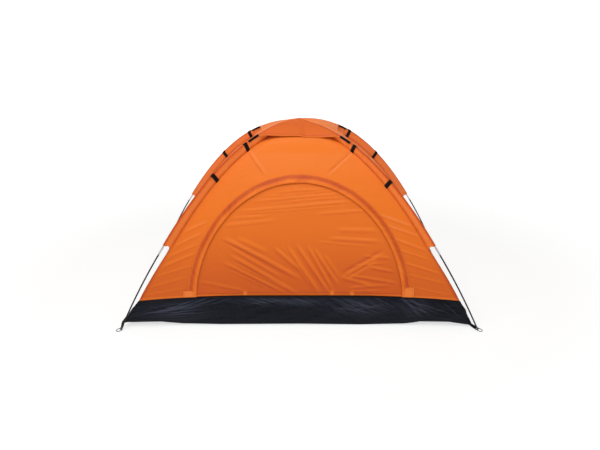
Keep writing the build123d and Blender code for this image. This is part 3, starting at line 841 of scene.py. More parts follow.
def plain_wall(side, seed):
    rows, columns = 92, 120 if side != "rear" else 170
    height = (SEAM + (WALL_TOP - SEAM) * np.linspace(0.0, 1.0, rows) ** 1.1)[:, None]
    share = np.linspace(-1.0, 1.0, columns)[None, :]
    reach = HALF_X if side == "rear" else HALF_Y
    across = reach * closeness(height) * share
    height = height + 0 * share
    relief = plain_relief(side, across, height, seed)
    points = on_wall(side, across, height, relief)
    relief = relief + 0.012 * (1.0 - share**2) * np.sin(math.pi * (height - SEAM) / (RIM - SEAM))
    flat = np.stack([across, climb(side, height)], axis=-1)
    # Tone: the folded hem is painted lighter as a highlight, the corner seams darker, the lower cloth is
    # darkened with painted shade, and the folds and ripples get painted highlights and painted shade.
    hem = pull(height - SEAM, 0.010, 0.006) * 0.35
    edge = ease((np.abs(share) - 0.975) / 0.02) * 0.35
    tone = hem - edge - 0.40 * pull(height, 0.38, 0.42) + fold_shade(relief, 0.30)
    piece = cloth(f"{side}_wall_cloth", points, grid_faces(rows, columns), flat, tone, orange)
    declare(piece, [f"{side}_wall"])


plain_wall("left", 51)
plain_wall("right", 61)
plain_wall("rear", 71)

# %% [markdown]
# Above the walls, under the cap, the roof is a square of insect mesh that lets warm air out. The
# mesh is a flat sheet whose holes are cut by the finish, which is far lighter than modelled threads.

# %% Roof mesh
def roof_mesh_sheet():
    count = 61
    edge = float(closeness(RIM + 0.010))
    wide, deep = square_grid(count, count)
    nearness = edge * (np.abs(wide) ** 6 + np.abs(deep) ** 6) ** (1 / 6)
    nearness = np.minimum(nearness, edge * np.maximum(np.abs(wide), np.abs(deep)) + 0.012)
    border = ease((1.0 - np.maximum(np.abs(wide), np.abs(deep))) / 0.15)
    hip = edge * np.maximum(np.abs(wide), np.abs(deep))
    inward = hip + (np.maximum(nearness, hip) - hip) * border
    up = TOP * (1.0 - inward**2) - 0.0010
    points = np.stack([HALF_X * edge * wide, HALF_Y * edge * deep, up], axis=-1)
    flat = np.stack([points[..., 0], points[..., 1]], axis=-1)
    faces = grid_faces(count, count)
    piece = cloth("roof_mesh_sheet", points, faces, flat, 0 * up, mesh_cloth, thickness=0.0003)
    declare(piece, ["roof_mesh"])


roof_mesh_sheet()

# %% [markdown]
# The tub is the floor and its low upstand. Its corners are pulled out by the straps, while between
# them its lower edge lifts off the ground in places. Folds run from the corners and from the foot of
# the door up to the seam, and painted highlights lie along them and in a few streaked patches, for the
# shine of the laminated sheet. The floor is a coarse grid. The upstand is a ring of rows that goes once
# round, with far closer points for its sharp creases.

# %% Tub shape
TUB_LIFT = (
    (-1.00, 0.024), (-0.91, 0.038), (-0.80, 0.019), (-0.70, 0.009), (-0.47, 0.003), (0.00, 0.006),
    (0.37, 0.001), (0.64, 0.008), (0.71, 0.018), (0.75, 0.031), (0.79, 0.039), (0.84, 0.029), (1.00, 0.006),
)
TUB_REACH = 0.946, 0.684
TUB_PULL = 0.975, 0.702
TUB_FOLDS = from_millimetres(
    (-580, 158, -900, 55, 10, 6), (-640, 156, -930, 48, 9, 5.2), (-520, 152, -800, 82, 10, 4),
    (-700, 140, -950, 40, 8, 5), (-620, 120, -820, 50, 9, 3), (-430, 156, -590, 110, 8, 3.2),
    (-350, 156, -170, 138, 7, 3.4), (-320, 120, -80, 142, 7, 3), (-260, 156, -210, 120, 7, 3),
    (-50, 148, 100, 128, 8, 2.8), (200, 150, 330, 128, 8, 3), (280, 152, 430, 105, 8, 4),
    (320, 118, 530, 92, 8, 4.2), (360, 88, 560, 122, 8, 3.4), (240, 100, 460, 68, 9, 3.4),
    (480, 155, 620, 95, 9, 3), (640, 160, 790, 45, 9, 6.2), (690, 158, 840, 50, 8, 5),
    (660, 150, 930, 60, 9, 4.6), (900, 140, 970, 40, 8, 3.6),
)


# Patches of painted highlight on the upstand: place across, height share, length across, height size and
# angle of their streaks.
TUB_LIT = (
    (-0.76, 0.50, 0.17, 0.36, 17.0), (-0.20, 0.86, 0.22, 0.14, -4.0), (0.38, 0.66, 0.18, 0.30, -12.0),
    (0.73, 0.62, 0.08, 0.36, -50.0), (0.02, 0.80, 0.12, 0.12, -8.0),
)


def tub_edge(wide, deep):
    """Place of the bottom edge, from -1 to 1 across and along the floor."""
    corner = (np.abs(wide) * np.abs(deep)) ** 6
    slack_corner = 0.026 * corner * (wide < 0) * (deep < 0)
    x = wide * (TUB_REACH[0] + (TUB_PULL[0] - TUB_REACH[0]) * corner + slack_corner)
    y = deep * (TUB_REACH[1] + (TUB_PULL[1] - TUB_REACH[1]) * corner)
    places = [place for place, _ in TUB_LIFT]
    lifts = [lift for _, lift in TUB_LIFT]
    front = np.interp(wide, places, lifts)
    rear = np.interp(-wide, places, lifts)
    side = 0.006 + 0.010 * deep**2
    edge = np.where(np.abs(deep) > 0.999, np.where(deep < 0, front, rear), side)
    rim = np.maximum(np.abs(wide), np.abs(deep))
    return x, y, 0.0015 + edge * ease((rim - 0.90) / 0.10)


# %% [markdown]
# The floor is cut as one flat piece and lies on the ground, so it only needs low waves.

# %% Tub floor
def tub_floor():
    rows, columns = 84, 110
    wide, deep = square_grid(rows, columns)
    x, y, z = tub_edge(wide, deep)
    calm = 1.0 - np.maximum(np.abs(wide), np.abs(deep)) ** 8
    z = z + 0.0010 * (1.0 + ripples(x, y, 0.12, 2.0, 30.0, 81)) * calm
    points = np.stack([x, y, z], axis=-1)
    flat = np.stack([x, y], axis=-1)
    faces = grid_faces(rows, columns)
    piece = cloth("groundsheet_floor", points, faces, flat, 0 * z, tub_finish, thickness=0.0009)
    declare(piece, ["groundsheet"])


# %% [markdown]
# The upstand is one long strip that goes once round the floor and closes at a corner. Each point of
# it lies between the floor's edge and the seam, and the folds then push it in or out.

# %% Tub upstand
def once_round(front_count, side_count):
    """Points of a square from -1 to 1, once round, seen from above against the clock."""
    long = np.linspace(-1.0, 1.0, front_count + 1)[:-1]
    short = np.linspace(-1.0, 1.0, side_count + 1)[:-1]
    wide = np.concatenate([long, 0 * short + 1, -long, 0 * short - 1])
    deep = np.concatenate([0 * long - 1, short, 0 * long + 1, -short])
    return wide, deep


def tub_upstand():
    rows = 34
    wide, deep = once_round(420, 260)
    x, y, z = tub_edge(wide, deep)
    foot = np.stack([x, y, z], axis=-1)
    on_long = np.abs(deep) > 0.999
    share = np.where(on_long, wide, deep)
    as_seen = np.where(on_long, -wide * np.sign(deep), deep * np.sign(wide))
    corner_out = FLARE * np.abs(share) ** 5
    reach = closeness(SEAM + droop(share))
    top_x = wide * (HALF_X * reach + 0.0012) + np.sign(wide) * corner_out
    top_y = deep * (HALF_Y * reach + 0.0012) + np.sign(deep) * corner_out
    on_top = np.stack([top_x, top_y, SEAM + droop(share)], axis=-1)
    outward = np.stack([np.where(on_long, 0, wide), np.where(on_long, deep, 0), 0 * wide], axis=-1)
    around = np.concatenate([[0.0], np.cumsum(np.linalg.norm(np.diff(foot, axis=0), axis=1))])
    inner = tub_edge(wide * 0.985, deep * 0.985)
    points = [np.stack([inner[0], inner[1], z - 0.0004], axis=-1)]
    flat = [np.stack([around, around * 0.0 - 0.01], axis=-1)]
    tone = [np.zeros(len(wide))]
    for row in range(rows + 1):
        rise = row / rows
        body = ease(rise / 0.12 + 0.1) * ease((1.0 - rise) / 0.10)
        tall = rise * 0.16 + np.zeros_like(around)
        crease = folds(as_seen, tall, [(a, b, w * 1.05, h) for a, b, w, h in TUB_FOLDS])
        crinkle = 0.0030 * ripples(around, tall, 0.075, 1.8, 52.0, 91)
        crinkle = crinkle + 0.0022 * ripples(around, tall, 0.045, 2.4, -38.0, 92)
        fine = 0.0011 * ripples(around, tall, 0.024, 2.6, 25.0, 93)
        bulge = 0.009 * math.sin(math.pi * rise) ** 0.8
        away = bulge + (crease + crinkle * (0.4 + 0.6 * rise) + fine) * body
        points.append(foot * (1.0 - rise) + on_top * rise + outward * away[:, None])
        flat.append(np.stack([around, np.full_like(around, 0.17 * rise)], axis=-1))
        # Painted highlights: along the crests of the creases, and in the streaked patches of TUB_LIT.
        shine = np.clip(crease / 0.0060 - 0.15, 0.0, 0.6)
        lit = np.zeros_like(around)
        for place, level, long, tall_size, turn in TUB_LIT:
            spread = np.exp(-(((as_seen - place) / long) ** 2) - ((rise - level) / tall_size) ** 2)
            streak = ripples(as_seen, tall, 0.012, 7.0, turn, 95)
            streak = streak + 0.6 * ripples(as_seen, tall, 0.030, 5.0, turn, 96)
            lit += spread * np.clip(0.40 + 0.55 * streak, 0.0, 1.0)
        tone.append(0.75 * (shine * 0.6 + 0.55 * lit) * body)
    closing = float(np.linalg.norm(foot[0] - foot[-1]))
    flat = np.array(flat)
    last = flat[:, -1:] + np.array([closing, 0.0])
    flat = np.concatenate([flat, last], axis=1)
    points, tone = np.array(points), np.array(tone)
    points = np.concatenate([points, points[:, :1]], axis=1)
    tone = np.concatenate([tone, tone[:, :1]], axis=1)
    faces = grid_faces(*points.shape[:2])
    piece = cloth("groundsheet_upstand", points, faces, flat, tone, tub_finish, thickness=0.0009)
    declare(piece, ["groundsheet"])


tub_upstand()
tub_floor()

# %% [markdown]
# A pole bends into a curve very near a parabola. Sleeves, tabs and stitches all follow it, so one
# function gives the place, the direction along the pole and the direction away from the tent.

# %% Along a pole
def pole_spot(corner, share):
    """Place on a pole, the direction towards its foot, and the direction away from the tent."""
    side_x, side_y = CORNERS[corner]
    top = POLE_TOPS["a" if side_x == side_y else "b"]
    drop = top - POLE_END
    share = np.asarray(share, dtype=float)
    place = np.stack([side_x * FOOT[0] * share, side_y * FOOT[1] * share, top - drop * share**2], axis=-1)
    plan = math.hypot(*FOOT)
    flat_out = np.array([side_x * FOOT[0], side_y * FOOT[1], 0.0]) / plan
    slope = 2.0 * drop * share / plan
    size = np.sqrt(1.0 + slope**2)
    down = (flat_out - slope[..., None] * np.array([0, 0, 1.0])) / size[..., None]
    away = (slope[..., None] * flat_out + np.array([0, 0, 1.0])) / size[..., None]
    return place, down, away


def seam_spot(corner, share):
    """Place on the tent's corner seam straight inwards from a place on the pole."""
    place, _, away = pole_spot(corner, share)
    reach = np.linspace(0.0, 0.09, 181)
    best = np.zeros(place.shape[:-1])
    plan_seam = math.hypot(HALF_X, HALF_Y)
    for step in range(best.size):
        trial = place.reshape(-1, 3)[step] - reach[:, None] * away.reshape(-1, 3)[step]
        radius = np.hypot(trial[:, 0], trial[:, 1])
        gap = radius - plan_seam * closeness(trial[:, 2])
        inside = np.nonzero(gap <= 0.0)[0]
        best.reshape(-1)[step] = reach[inside[0]] if len(inside) else reach[-1]
    return best


def sideways(corner):
    """Level direction across a corner's pole, towards the front or rear wall's side."""
    side_x, side_y = CORNERS[corner]
    plan = math.hypot(*FOOT)
    return np.array([-side_x * FOOT[1], side_y * FOOT[0], 0.0]) / plan


def on_pole_a(corner):
    """Corners on pole a are the mirror image of those on pole b, so their faces wind the other way."""
    return CORNERS[corner][0] * CORNERS[corner][1] > 0


# %% [markdown]
# Each pole sleeve is one strip of the orange cloth, folded round the pole and sewn into the corner
# seam with both edges. Its section is a drop: round at the pole and tapering to the seam. Along its
# length the strip gathers in small puckers, because the outside of the bend is longer than the seam.

# %% Pole sleeves
WEB_FROM, SLEEVE_FROM, SLEEVE_TO = 0.195, 0.300, 0.771
TUNNEL = 0.0068


def sleeve_section(depth, bulge):
    """Section of a sleeve from one seam edge round the pole to the other, as sideways and outwards."""
    flank = np.linspace(0.0, 1.0, 9)[:-1]
    belly = 0.0012 + (TUNNEL - 0.0012) * ease(flank) + bulge * np.sin(math.pi * flank)
    rise = -depth * (1.0 - flank) - 0.001 * flank
    turn = np.linspace(0.0, math.pi, 13)
    side = np.concatenate([belly, TUNNEL * np.cos(turn), -belly[::-1]])
    out = np.concatenate([rise, TUNNEL * np.sin(turn), rise[::-1]])
    return side, out


def pole_sleeve(corner, seed):
    columns = 190
    web = np.append(np.linspace(WEB_FROM, SLEEVE_FROM - 0.001, 12), SLEEVE_FROM)
    share = np.concatenate([web, np.linspace(SLEEVE_FROM + 0.001, SLEEVE_TO, columns - 13)])
    place, down, away = pole_spot(corner, share)
    depth = seam_spot(corner, share)
    across = sideways(corner)
    along = np.concatenate([[0.0], np.cumsum(np.linalg.norm(np.diff(place, axis=0), axis=1))])
    points, flat, tone = [], [], []
    pucker = ripples(along, 0 * along, 0.035, 1.0, 90.0, seed)
    slow = ripples(along, 0 * along, 0.140, 1.0, 90.0, seed + 1)
    for column in range(columns):
        side, out = sleeve_section(depth[column] + 0.002, 0.0010 * slow[column])
        middle = np.exp(-(((out + 0.5 * depth[column]) / (0.35 * depth[column] + 1e-4)) ** 2))
        side = side + np.sign(side) * 0.0011 * pucker[column] * middle
        ring = place[column] + side[:, None] * across + out[:, None] * away[column]
        end = ease((along[-1] - along[column]) / 0.012)
        reach = np.concatenate([[0.0], np.cumsum(np.hypot(np.diff(side), np.diff(out)))])
        if share[column] < SLEEVE_FROM:
            side = side * 0.25
            ring = place[column] + side[:, None] * across + np.minimum(out, -0.0048)[:, None] * away[column]
        bite = 0.010 * (1.0 - end) * np.exp(-(((out + 0.55 * depth[column]) / 0.014) ** 2))
        ring = ring - bite[:, None] * down[column]
        points.append(ring)
        flat.append(np.stack([np.full_like(reach, along[column]), reach], axis=-1))
        # Tone: painted shade where the pole lies under the cloth, a darker line where the sleeve is sewn
        # into the seam, and a painted highlight along the middle of its flank.
        painted_pole_shade = -0.72 * ease((out + 0.0015) / 0.004)
        sewn = -0.45 * np.exp(-(((out + depth[column]) / 0.006) ** 2))
        painted_flank_highlight = 0.35 * np.exp(-(((out + 0.45 * depth[column]) / (0.30 * depth[column])) ** 2))
        tone.append(painted_pole_shade + sewn + painted_flank_highlight)
    points = np.array(points)
    piece = cloth(
        f"pole_sleeve_{corner}_cloth", points, grid_faces(*points.shape[:2]), np.array(flat),
        np.array(tone), orange, thickness=0.0006, flip=on_pole_a(corner),
    )
    declare(piece, [f"pole_sleeve_{corner}"])


for number, corner in enumerate(CORNERS):
    pole_sleeve(corner, 100 + 10 * number)

# %% [markdown]
# Black webbing tabs wrap round each sleeve where it carries load and are sewn down at the seam. They
# are flat tape, so they are modelled directly: the sleeve's own section, one tape thickness larger.

# %% Webbing tabs
TAB_WIDTH = 0.025


def webbing_piece(name, points, node, thickness, faces=None, flip=False):
    """A piece of tape from rows of points, which stands for a node."""
    faces = grid_faces(*points.shape[:2]) if faces is None else faces
    flat = np.zeros(points.shape[:2] + (2,))
    piece = cloth(name, points, faces, flat, flat[..., 0], webbing, thickness=thickness, flip=flip)
    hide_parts(node)


def webbing_tab(level, corner, share_at):
    plan = math.hypot(*FOOT)
    drop = POLE_TOPS["a"] - POLE_END
    slope = 2.0 * drop * share_at / plan
    half = TAB_WIDTH / 2 / math.sqrt(1.0 + slope**2) / plan
    share = share_at + np.linspace(-half, half, 9)
    place, _, away = pole_spot(corner, share)
    depth = seam_spot(corner, share)
    across = sideways(corner)
    points = []
    for column in range(len(share)):
        side, out = sleeve_section(depth[column] + 0.006, 0.001)
        swell = 0.0012 + 0.0010 * np.exp(-((out + depth[column]) / 0.01) ** 2)
        ring = place[column] + (side + np.sign(side) * swell)[:, None] * across
        ring = ring + (out + 0.0016 * ease((out + 0.004) / 0.006))[:, None] * away[column]
        points.append(ring)
    name, node = f"{level}_tab_{corner}", f"{level}_sleeve_tabs"
    webbing_piece(name, np.array(points), node, 0.0013, flip=on_pole_a(corner))


TAB_PLACES = {
    "lower": {"front_left": 0.503, "front_right": 0.528, "rear_left": 0.510, "rear_right": 0.520},
    "upper": {"front_left": 0.322, "front_right": 0.328, "rear_left": 0.325, "rear_right": 0.325},
}
for level, places in TAB_PLACES.items():
    for corner, share_at in places.items():
        webbing_tab(level, corner, share_at)
print("eight webbing tabs,", TAB_WIDTH, "wide")

# %% [markdown]
# The roof cap keeps rain off the mesh. It lies over both poles, so it is a hipped roof whose ridges
# are the poles, with cloth that sinks a little between them. Its corners are tied to the poles and
# its hems curve inwards between the corners, which keeps them tight.

# %% Roof cap
CAP_CORNER = 0.262
CAP_HEM = 0.236, 0.186
CAP_RISE = 0.0075


def cap_height(x, y):
    """Height of cloth that lies on both poles."""
    a_line = (x / FOOT[0] + y / FOOT[1]) / 2
    b_line = (x / FOOT[0] - y / FOOT[1]) / 2
    drop = POLE_TOPS["a"] - POLE_END
    wide = np.abs(x / FOOT[0])
    deep = np.abs(y / FOOT[1])
    soft = 0.010
    gap = np.sqrt((wide - deep) ** 2 + soft**2)
    reach = (wide + deep + gap) / 2
    on_a = np.abs(a_line) > np.abs(b_line)
    top = np.where(on_a, POLE_TOPS["a"], POLE_TOPS["b"])
    blend = ease(np.hypot(wide, deep) / 0.10)
    parted = ease(np.abs(np.abs(a_line) - np.abs(b_line)) / 0.04)
    top = POLE_TOPS["a"] + (top - POLE_TOPS["a"]) * blend * parted
    apart = np.abs(wide - deep)
    sag = 0.0050 * ease(apart / 0.16) * ease(np.maximum(wide, deep) / 0.12)
    hem_drop = 0.006 * ease(apart / 0.20) * ease((np.maximum(wide, deep) - 0.14) / 0.10)
    return top - drop * reach**2 + CAP_RISE + soft * 0.1 - sag - hem_drop


def roof_cap():
    count = 121
    wide, deep = square_grid(count, count)
    x = wide * (CAP_HEM[0] + (CAP_CORNER * FOOT[0] - CAP_HEM[0]) * deep**2)
    y = deep * (CAP_HEM[1] + (CAP_CORNER * FOOT[1] - CAP_HEM[1]) * wide**2)
    z = cap_height(x, y)
    rim = np.maximum(np.abs(wide), np.abs(deep))
    lines = []
    for sign_x, sign_y in CORNERS.values():
        middle = math.degrees(math.atan2(-sign_y, -sign_x))
        centre = (sign_x * CAP_CORNER * 0.97, sign_y * CAP_CORNER * 0.75 * 0.97)
        angles = [middle + turn for turn in (-34, -22, 22, 34)]
        lines += fan(centre, angles, 0.12, 0.008, 0.0020, int(300 + 10 * sign_x + sign_y))
    ridge = np.abs(np.abs(x / FOOT[0]) - np.abs(y / FOOT[1]))
    off_pole = ease(ridge / 0.05)
    z = z + folds(x, y, lines) * off_pole + 0.0008 * ripples(x, y, 0.05, 2.0, 15.0, 311) * off_pole
    points = np.stack([x, y, z], axis=-1)
    from_hem = (1.0 - rim) * 0.2
    # Tone: the folded binding at the hem is painted lighter as a highlight with a dark line along its inner
    # edge, a painted shade line lies over each pole, the front and rear facets are painted darker and the
    # side facets lighter as painted light from above, and the folds get painted highlights and shade.
    hem = -0.45 * np.exp(-((from_hem - 0.012) / 0.0022) ** 2) + 0.15 * pull(from_hem, 0.010, 0.003)
    painted_pole_shade = -0.50 * np.exp(-((ridge / 0.010) ** 2)) * ease((rim - 0.10) / 0.1)
    flat = np.stack([x, y], axis=-1)
    faces = grid_faces(count, count)
    facing_side = ease((np.abs(x / FOOT[0]) - np.abs(y / FOOT[1])) / 0.02 + 0.5)
    painted_facet_shading = 0.30 * facing_side - 0.38 * (1.0 - facing_side)
    tone = hem + painted_pole_shade + painted_facet_shading + fold_shade(folds(x, y, lines), 0.2)
    piece = cloth("roof_cap_cloth", points, faces, flat, tone, orange, thickness=0.0007)
    declare(piece, ["roof_cap"])


roof_cap()

# %% [markdown]
# Short webbing ties run from each corner of the cap down its pole to the sleeve. They hug the pole, so
# their section is an arc a little wider than the pole.

# %% Cap ties
def cap_tie(corner):
    share = np.linspace(0.246, 0.303, 24)
    place, _, away = pole_spot(corner, share)
    across = sideways(corner)
    turn = np.radians(np.linspace(-35, 215, 15))
    points = []
    for column in range(len(share)):
        snug = 1.0 + 0.06 * math.sin(column * 1.7)
        side = 0.0078 * snug * np.cos(turn)
        out = 0.0062 * snug * np.sin(turn)
        points.append(place[column] + side[:, None] * across + out[:, None] * away[column])
    name = f"cap_tie_{corner}"
    webbing_piece(name, np.array(points), "cap_corner_loops", 0.0012, flip=on_pole_a(corner))


for corner in CORNERS:
    cap_tie(corner)
print("four cap ties")

# %% [markdown]
# A webbing strap is sewn to each corner of the tub, goes round the ring and the pin's eye, and comes
# back. Its loop is parted in the middle, where the eye passes, and stands square to the way the ring
# swings. The corner of the tub isn't always in line with that, so the strap twists a little on its way.

# %% Corner straps
KNUCKLE = 1.0033, 0.7525, 0.0075
LOOP_R = 0.0052
STRAP_COLUMNS = np.array([-0.0075, -0.0052, -0.0030, 0.0030, 0.0052, 0.0075])


def corner_strap(corner):
    side_x, side_y = CORNERS[corner]
    upright = np.array([0, 0, 1.0])
    ring_spot = np.array([side_x * KNUCKLE[0], side_y * KNUCKLE[1], KNUCKLE[2]])
    tub_x, tub_y, tub_z = tub_edge(np.array([float(side_x)]), np.array([float(side_y)]))
    tub_spot = np.array([tub_x[0], tub_y[0], tub_z[0] + 0.004])
    ahead = ring_spot - tub_spot
    across = np.cross(upright, ahead)
    across = across / np.linalg.norm(across)
    outward = np.array([side_x * FOOT[0], side_y * FOOT[1], 0.0]) / math.hypot(*FOOT)
    along_eye = np.cross(upright, outward)
    seam_reach = float(closeness(SEAM - 0.018))
    seam_x, seam_y = HALF_X * seam_reach + FLARE, HALF_Y * seam_reach + FLARE
    seam_corner = np.array([side_x * seam_x, side_y * seam_y, 0.147])
    climb_up = (seam_corner - tub_spot) / np.linalg.norm(seam_corner - tub_spot)
    outside = -np.cross(across, climb_up)
    outside = outside if outside @ ahead > 0 else -outside
    spots = [tub_spot + climb_up * rise + outside * 0.0035 for rise in (0.045, 0.030, 0.015, 0.004)]
    twist = [0.0] * len(spots)
    for share in (0.3, 0.6, 0.85):
        spots.append(tub_spot + ahead * share + upright * (0.003 + (LOOP_R - 0.003) * share))
        twist.append(share)
    solid_rows = len(spots)
    for turn in np.radians(np.linspace(90, -90, 11)):
        spots.append(ring_spot + outward * (LOOP_R * math.cos(turn)) + upright * (LOOP_R * math.sin(turn)))
        twist.append(1.0)
    loop_end = len(spots)
    for share in (0.8, 0.5, 0.2, 0.0):
        spots.append(tub_spot + ahead * share - upright * (0.002 + (LOOP_R - 0.002) * share))
        twist.append(share)
    twist = ease(np.array(twist))[:, None]
    width_way = across * (1.0 - twist) + along_eye * twist
    width_way = width_way / np.linalg.norm(width_way, axis=1, keepdims=True)
    points = np.array(spots)[:, None, :] + STRAP_COLUMNS[None, :, None] * width_way[:, None, :]
    faces = grid_faces(*points.shape[:2])
    columns = points.shape[1]
    row, column = faces[:, 0] // columns, faces[:, 0] % columns
    parted = (column == 2) & (row >= solid_rows - 1) & (row < loop_end)
    node = f"corner_strap_{corner}"
    webbing_piece(node + "_webbing", points, node, 0.0014, faces=faces[~parted])


for corner in CORNERS:
    corner_strap(corner)
print("four corner straps")

# %% [markdown]
# At its two lower ends the storm flap is closed with a square of cloth, sewn down with a box of
# stitches, so the zip can't be pulled past it.

# %% End patches of the storm flap
PATCHES = {"left": (-0.652, -0.588, 0.034), "right": (0.588, 0.646, 0.052)}


def end_patch(side):
    start, stop, tall = PATCHES[side]
    rows, columns = 24, 30
    share = np.linspace(0.0, 1.0, columns)[None, :] + np.zeros((rows, 1))
    rise = np.linspace(0.0, 1.0, rows)[:, None] + np.zeros((1, columns))
    across = start + (stop - start) * share
    height = SEAM + 0.001 + tall * rise
    rim = np.minimum(np.minimum(share, 1.0 - share), np.minimum(rise + 0.2, 1.0 - rise))
    stand = 0.0028 + 0.0034 * ease(rim / 0.25) + 0.0005 * ripples(across, height, 0.016, 1.5, 40.0, 401)
    points = on_wall("front", across, height, stand)
    sewn = -0.55 * np.exp(-(((rim - 0.12) / 0.04) ** 2))
    tone = 0.5 * sewn + 0.22
    flat = np.stack([across, height], axis=-1)
    piece = cloth(f"flap_end_patch_{side}", points, grid_faces(rows, columns), flat, tone, orange)


for side in PATCHES:
    end_patch(side)

# %% [markdown]
# Stitches repeat along a path, which is what Geometry Nodes do well. The tree turns a line into a
# curve, places points along it at a pitch, and puts one short thread on each. The same tree makes the
# turns of the coil zip, which are only shorter, thicker and closer. The tree's result is taken as a
# plain mesh for each body.

# %% A row of repeated pieces along a line
def row_tree():
    tree = bpy.data.node_groups.new("row_along_line", "GeometryNodeTree")
    sockets = tree.interface
    sockets.new_socket("Line", in_out="INPUT", socket_type="NodeSocketGeometry")
    for label in ("Pitch", "Piece Length", "Piece Radius"):
        sockets.new_socket(label, in_out="INPUT", socket_type="NodeSocketFloat")
    sockets.new_socket("Finish", in_out="INPUT", socket_type="NodeSocketMaterial")
    sockets.new_socket("Row", in_out="OUTPUT", socket_type="NodeSocketGeometry")
    given = tree.nodes.new("NodeGroupInput")
    result = tree.nodes.new("NodeGroupOutput")
    to_curve = tree.nodes.new("GeometryNodeMeshToCurve")
    spaced = tree.nodes.new("GeometryNodeResampleCurve")
    spaced.mode = "LENGTH"
    tangent = tree.nodes.new("GeometryNodeInputTangent")
    aligned = tree.nodes.new("FunctionNodeAlignRotationToVector")
    aligned.axis = "Z"
    bit = tree.nodes.new("GeometryNodeMeshCylinder")
    bit.inputs["Vertices"].default_value = 6
    placed = tree.nodes.new("GeometryNodeInstanceOnPoints")
    real = tree.nodes.new("GeometryNodeRealizeInstances")
    painted = tree.nodes.new("GeometryNodeSetMaterial")
    link = tree.links.new
    link(given.outputs["Line"], to_curve.inputs["Mesh"])
    link(to_curve.outputs["Curve"], spaced.inputs["Curve"])
    link(given.outputs["Pitch"], spaced.inputs["Length"])
    link(given.outputs["Piece Length"], bit.inputs["Depth"])
    link(given.outputs["Piece Radius"], bit.inputs["Radius"])
    link(tangent.outputs["Tangent"], aligned.inputs["Vector"])
    link(spaced.outputs["Curve"], placed.inputs["Points"])
    link(bit.outputs["Mesh"], placed.inputs["Instance"])
    link(aligned.outputs["Rotation"], placed.inputs["Rotation"])
    link(placed.outputs["Instances"], real.inputs["Geometry"])
    link(real.outputs["Geometry"], painted.inputs["Geometry"])
    link(given.outputs["Finish"], painted.inputs["Material"])
    link(painted.outputs["Geometry"], result.inputs["Row"])
    return tree


ROW_TREE = row_tree()


def row_of(name, lines, body, finish, pitch, length, radius):
    """Repeats a short round piece along each line of points, as one plain mesh piece."""
    vertices, edges = [], []
    for line in lines:
        first = len(vertices)
        vertices += [tuple(point) for point in np.asarray(line).reshape(-1, 3)]
        edges += [(index, index + 1) for index in range(first, len(vertices) - 1)]
    guide = bpy.data.meshes.new(name + "_guide")
    guide.from_pydata(vertices, edges, [])
    source = bpy.data.objects.new(name + "_guide", guide)
    bpy.context.scene.collection.objects.link(source)
    layer = source.modifiers.new("row", "NODES")
    layer.node_group = ROW_TREE
    values = {"Pitch": pitch, "Piece Length": length, "Piece Radius": radius, "Finish": finish}
    for item in ROW_TREE.interface.items_tree:
        if item.in_out == "INPUT" and item.name in values:
            layer[item.identifier] = values[item.name]
    found = source.evaluated_get(bpy.context.evaluated_depsgraph_get())
    mesh = bpy.data.meshes.new_from_object(found)
    mesh.name = name
    bpy.data.objects.remove(source)
    piece = bpy.data.objects.new(name, mesh)
    bpy.context.scene.collection.objects.link(piece)
    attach(piece, body)
    print(name, len(lines), "lines,", len(mesh.polygons), "faces")


# %% [markdown]
# Seams are sewn a few millimetres in from the cloth's edges. Each line is worked out by the rule that
# shapes its wall, its flap or its sleeve, so the thread lies on the cloth and not through it.

# %% Lines to sew along
def arch_line(width, height_size, out):
    turn = np.linspace(0.0, math.pi, 300)
    across = width * np.cos(turn)
    height = SEAM + height_size * np.sin(turn)
    return on_wall("front", across, height, out)


def flap_line(step, out):
    width = FLAP_OUT[0] + (FLAP_IN[0] - FLAP_OUT[0]) * step
    tall = FLAP_OUT[1] + (FLAP_IN[1] - FLAP_OUT[1]) * step
    turn = np.linspace(0.0, math.pi, 300)
    across = width * np.cos(turn)
    height = SEAM + tall * np.sin(turn)
    return on_wall("front", across, height, front_relief(across, height) * (1.0 - step) + out)


def hem_line(side, start, stop, height, relief):
    across = np.linspace(start, stop, 160)
    level = np.full_like(across, height)
    return on_wall(side, across, level, relief(across, level) + 0.0002)


def corner_line(side, sign, share, relief):
    height = np.linspace(SEAM + 0.006, WALL_TOP - 0.01, 160)
    reach = HALF_X if side in ("front", "rear") else HALF_Y
    across = sign * share * reach * closeness(height)
    return on_wall(side, across, height, relief(across, height) + 0.0002)


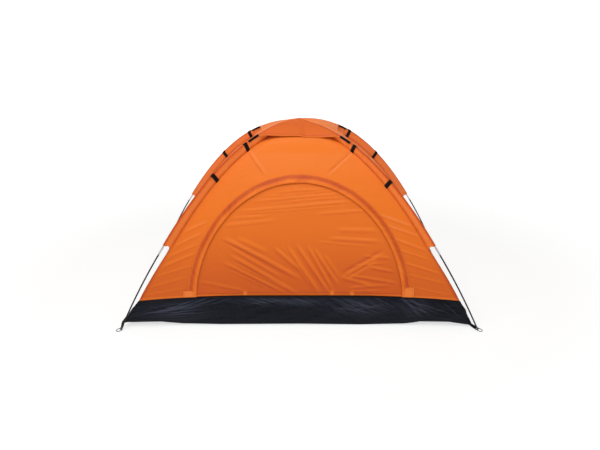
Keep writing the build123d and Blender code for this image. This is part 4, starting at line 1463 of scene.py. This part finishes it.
def sleeve_line(corner, sign, above):
    share = np.linspace(SLEEVE_FROM + 0.002, SLEEVE_TO - 0.004, 200)
    place, _, away = pole_spot(corner, share)
    depth = seam_spot(corner, share)
    flank = np.clip(above / depth, 0.0, 1.0)
    side = 0.0012 + (TUNNEL - 0.0012) * ease(flank) + 0.0012
    return place + sign * side[:, None] * sideways(corner) - (depth - above)[:, None] * away


wall_relief = {"front": front_relief}
for side, seed in (("left", 51), ("right", 61), ("rear", 71)):
    wall_relief[side] = lambda across, height, side=side, seed=seed: plain_relief(side, across, height, seed)
foot_x = HALF_X * float(closeness(SEAM)) * 0.985
foot_y = HALF_Y * float(closeness(SEAM)) * 0.985
sewn = [flap_line(0.13, 0.0018), flap_line(0.30, 0.0030)]
sewn += [hem_line("front", -foot_x, -0.66, SEAM + 0.011, front_relief)]
sewn += [hem_line("front", 0.66, foot_x, SEAM + 0.011, front_relief)]
sewn += [hem_line(side, -foot_y, foot_y, SEAM + 0.011, wall_relief[side]) for side in ("left", "right")]
sewn += [hem_line("rear", -foot_x, foot_x, SEAM + 0.011, wall_relief["rear"])]
sewn += [corner_line(side, sign, 0.965, wall_relief[side]) for side in wall_relief for sign in (-1, 1)]
for corner in CORNERS:
    sewn += [sleeve_line(corner, sign, above) for sign in (-1, 1) for above in (0.005, 0.009)]
door_sewn = [hem_line("front", -0.595, 0.595, SEAM + 0.020, door_relief)]
row_of("wall_stitches", sewn, "tent", thread, 0.0065, 0.0042, 0.00045)
row_of("door_stitches", door_sewn, "door", thread, 0.0065, 0.0042, 0.00045)

# %% [markdown]
# A coil zip is two spirals of nylon, one sewn to each side. They follow the arch 1.4 mm out and in
# from the opening. The door's half rides on the door, and stops short of the hem to let it turn.

# %% Zip coils
ZIP_SIDE = 0.0014
frame_coil = arch_line(ARCH_X + ZIP_SIDE, ARCH_Z + ZIP_SIDE, -0.0006)
door_coil = arch_line(ARCH_X - ZIP_SIDE, ARCH_Z - ZIP_SIDE, -0.0006)[6:-6]
row_of("frame_zip_coil", [frame_coil], "tent", zip_tape, 0.0022, 0.0013, 0.0012)
row_of("door_zip_coil", [door_coil], "door", zip_tape, 0.0022, 0.0013, 0.0012)
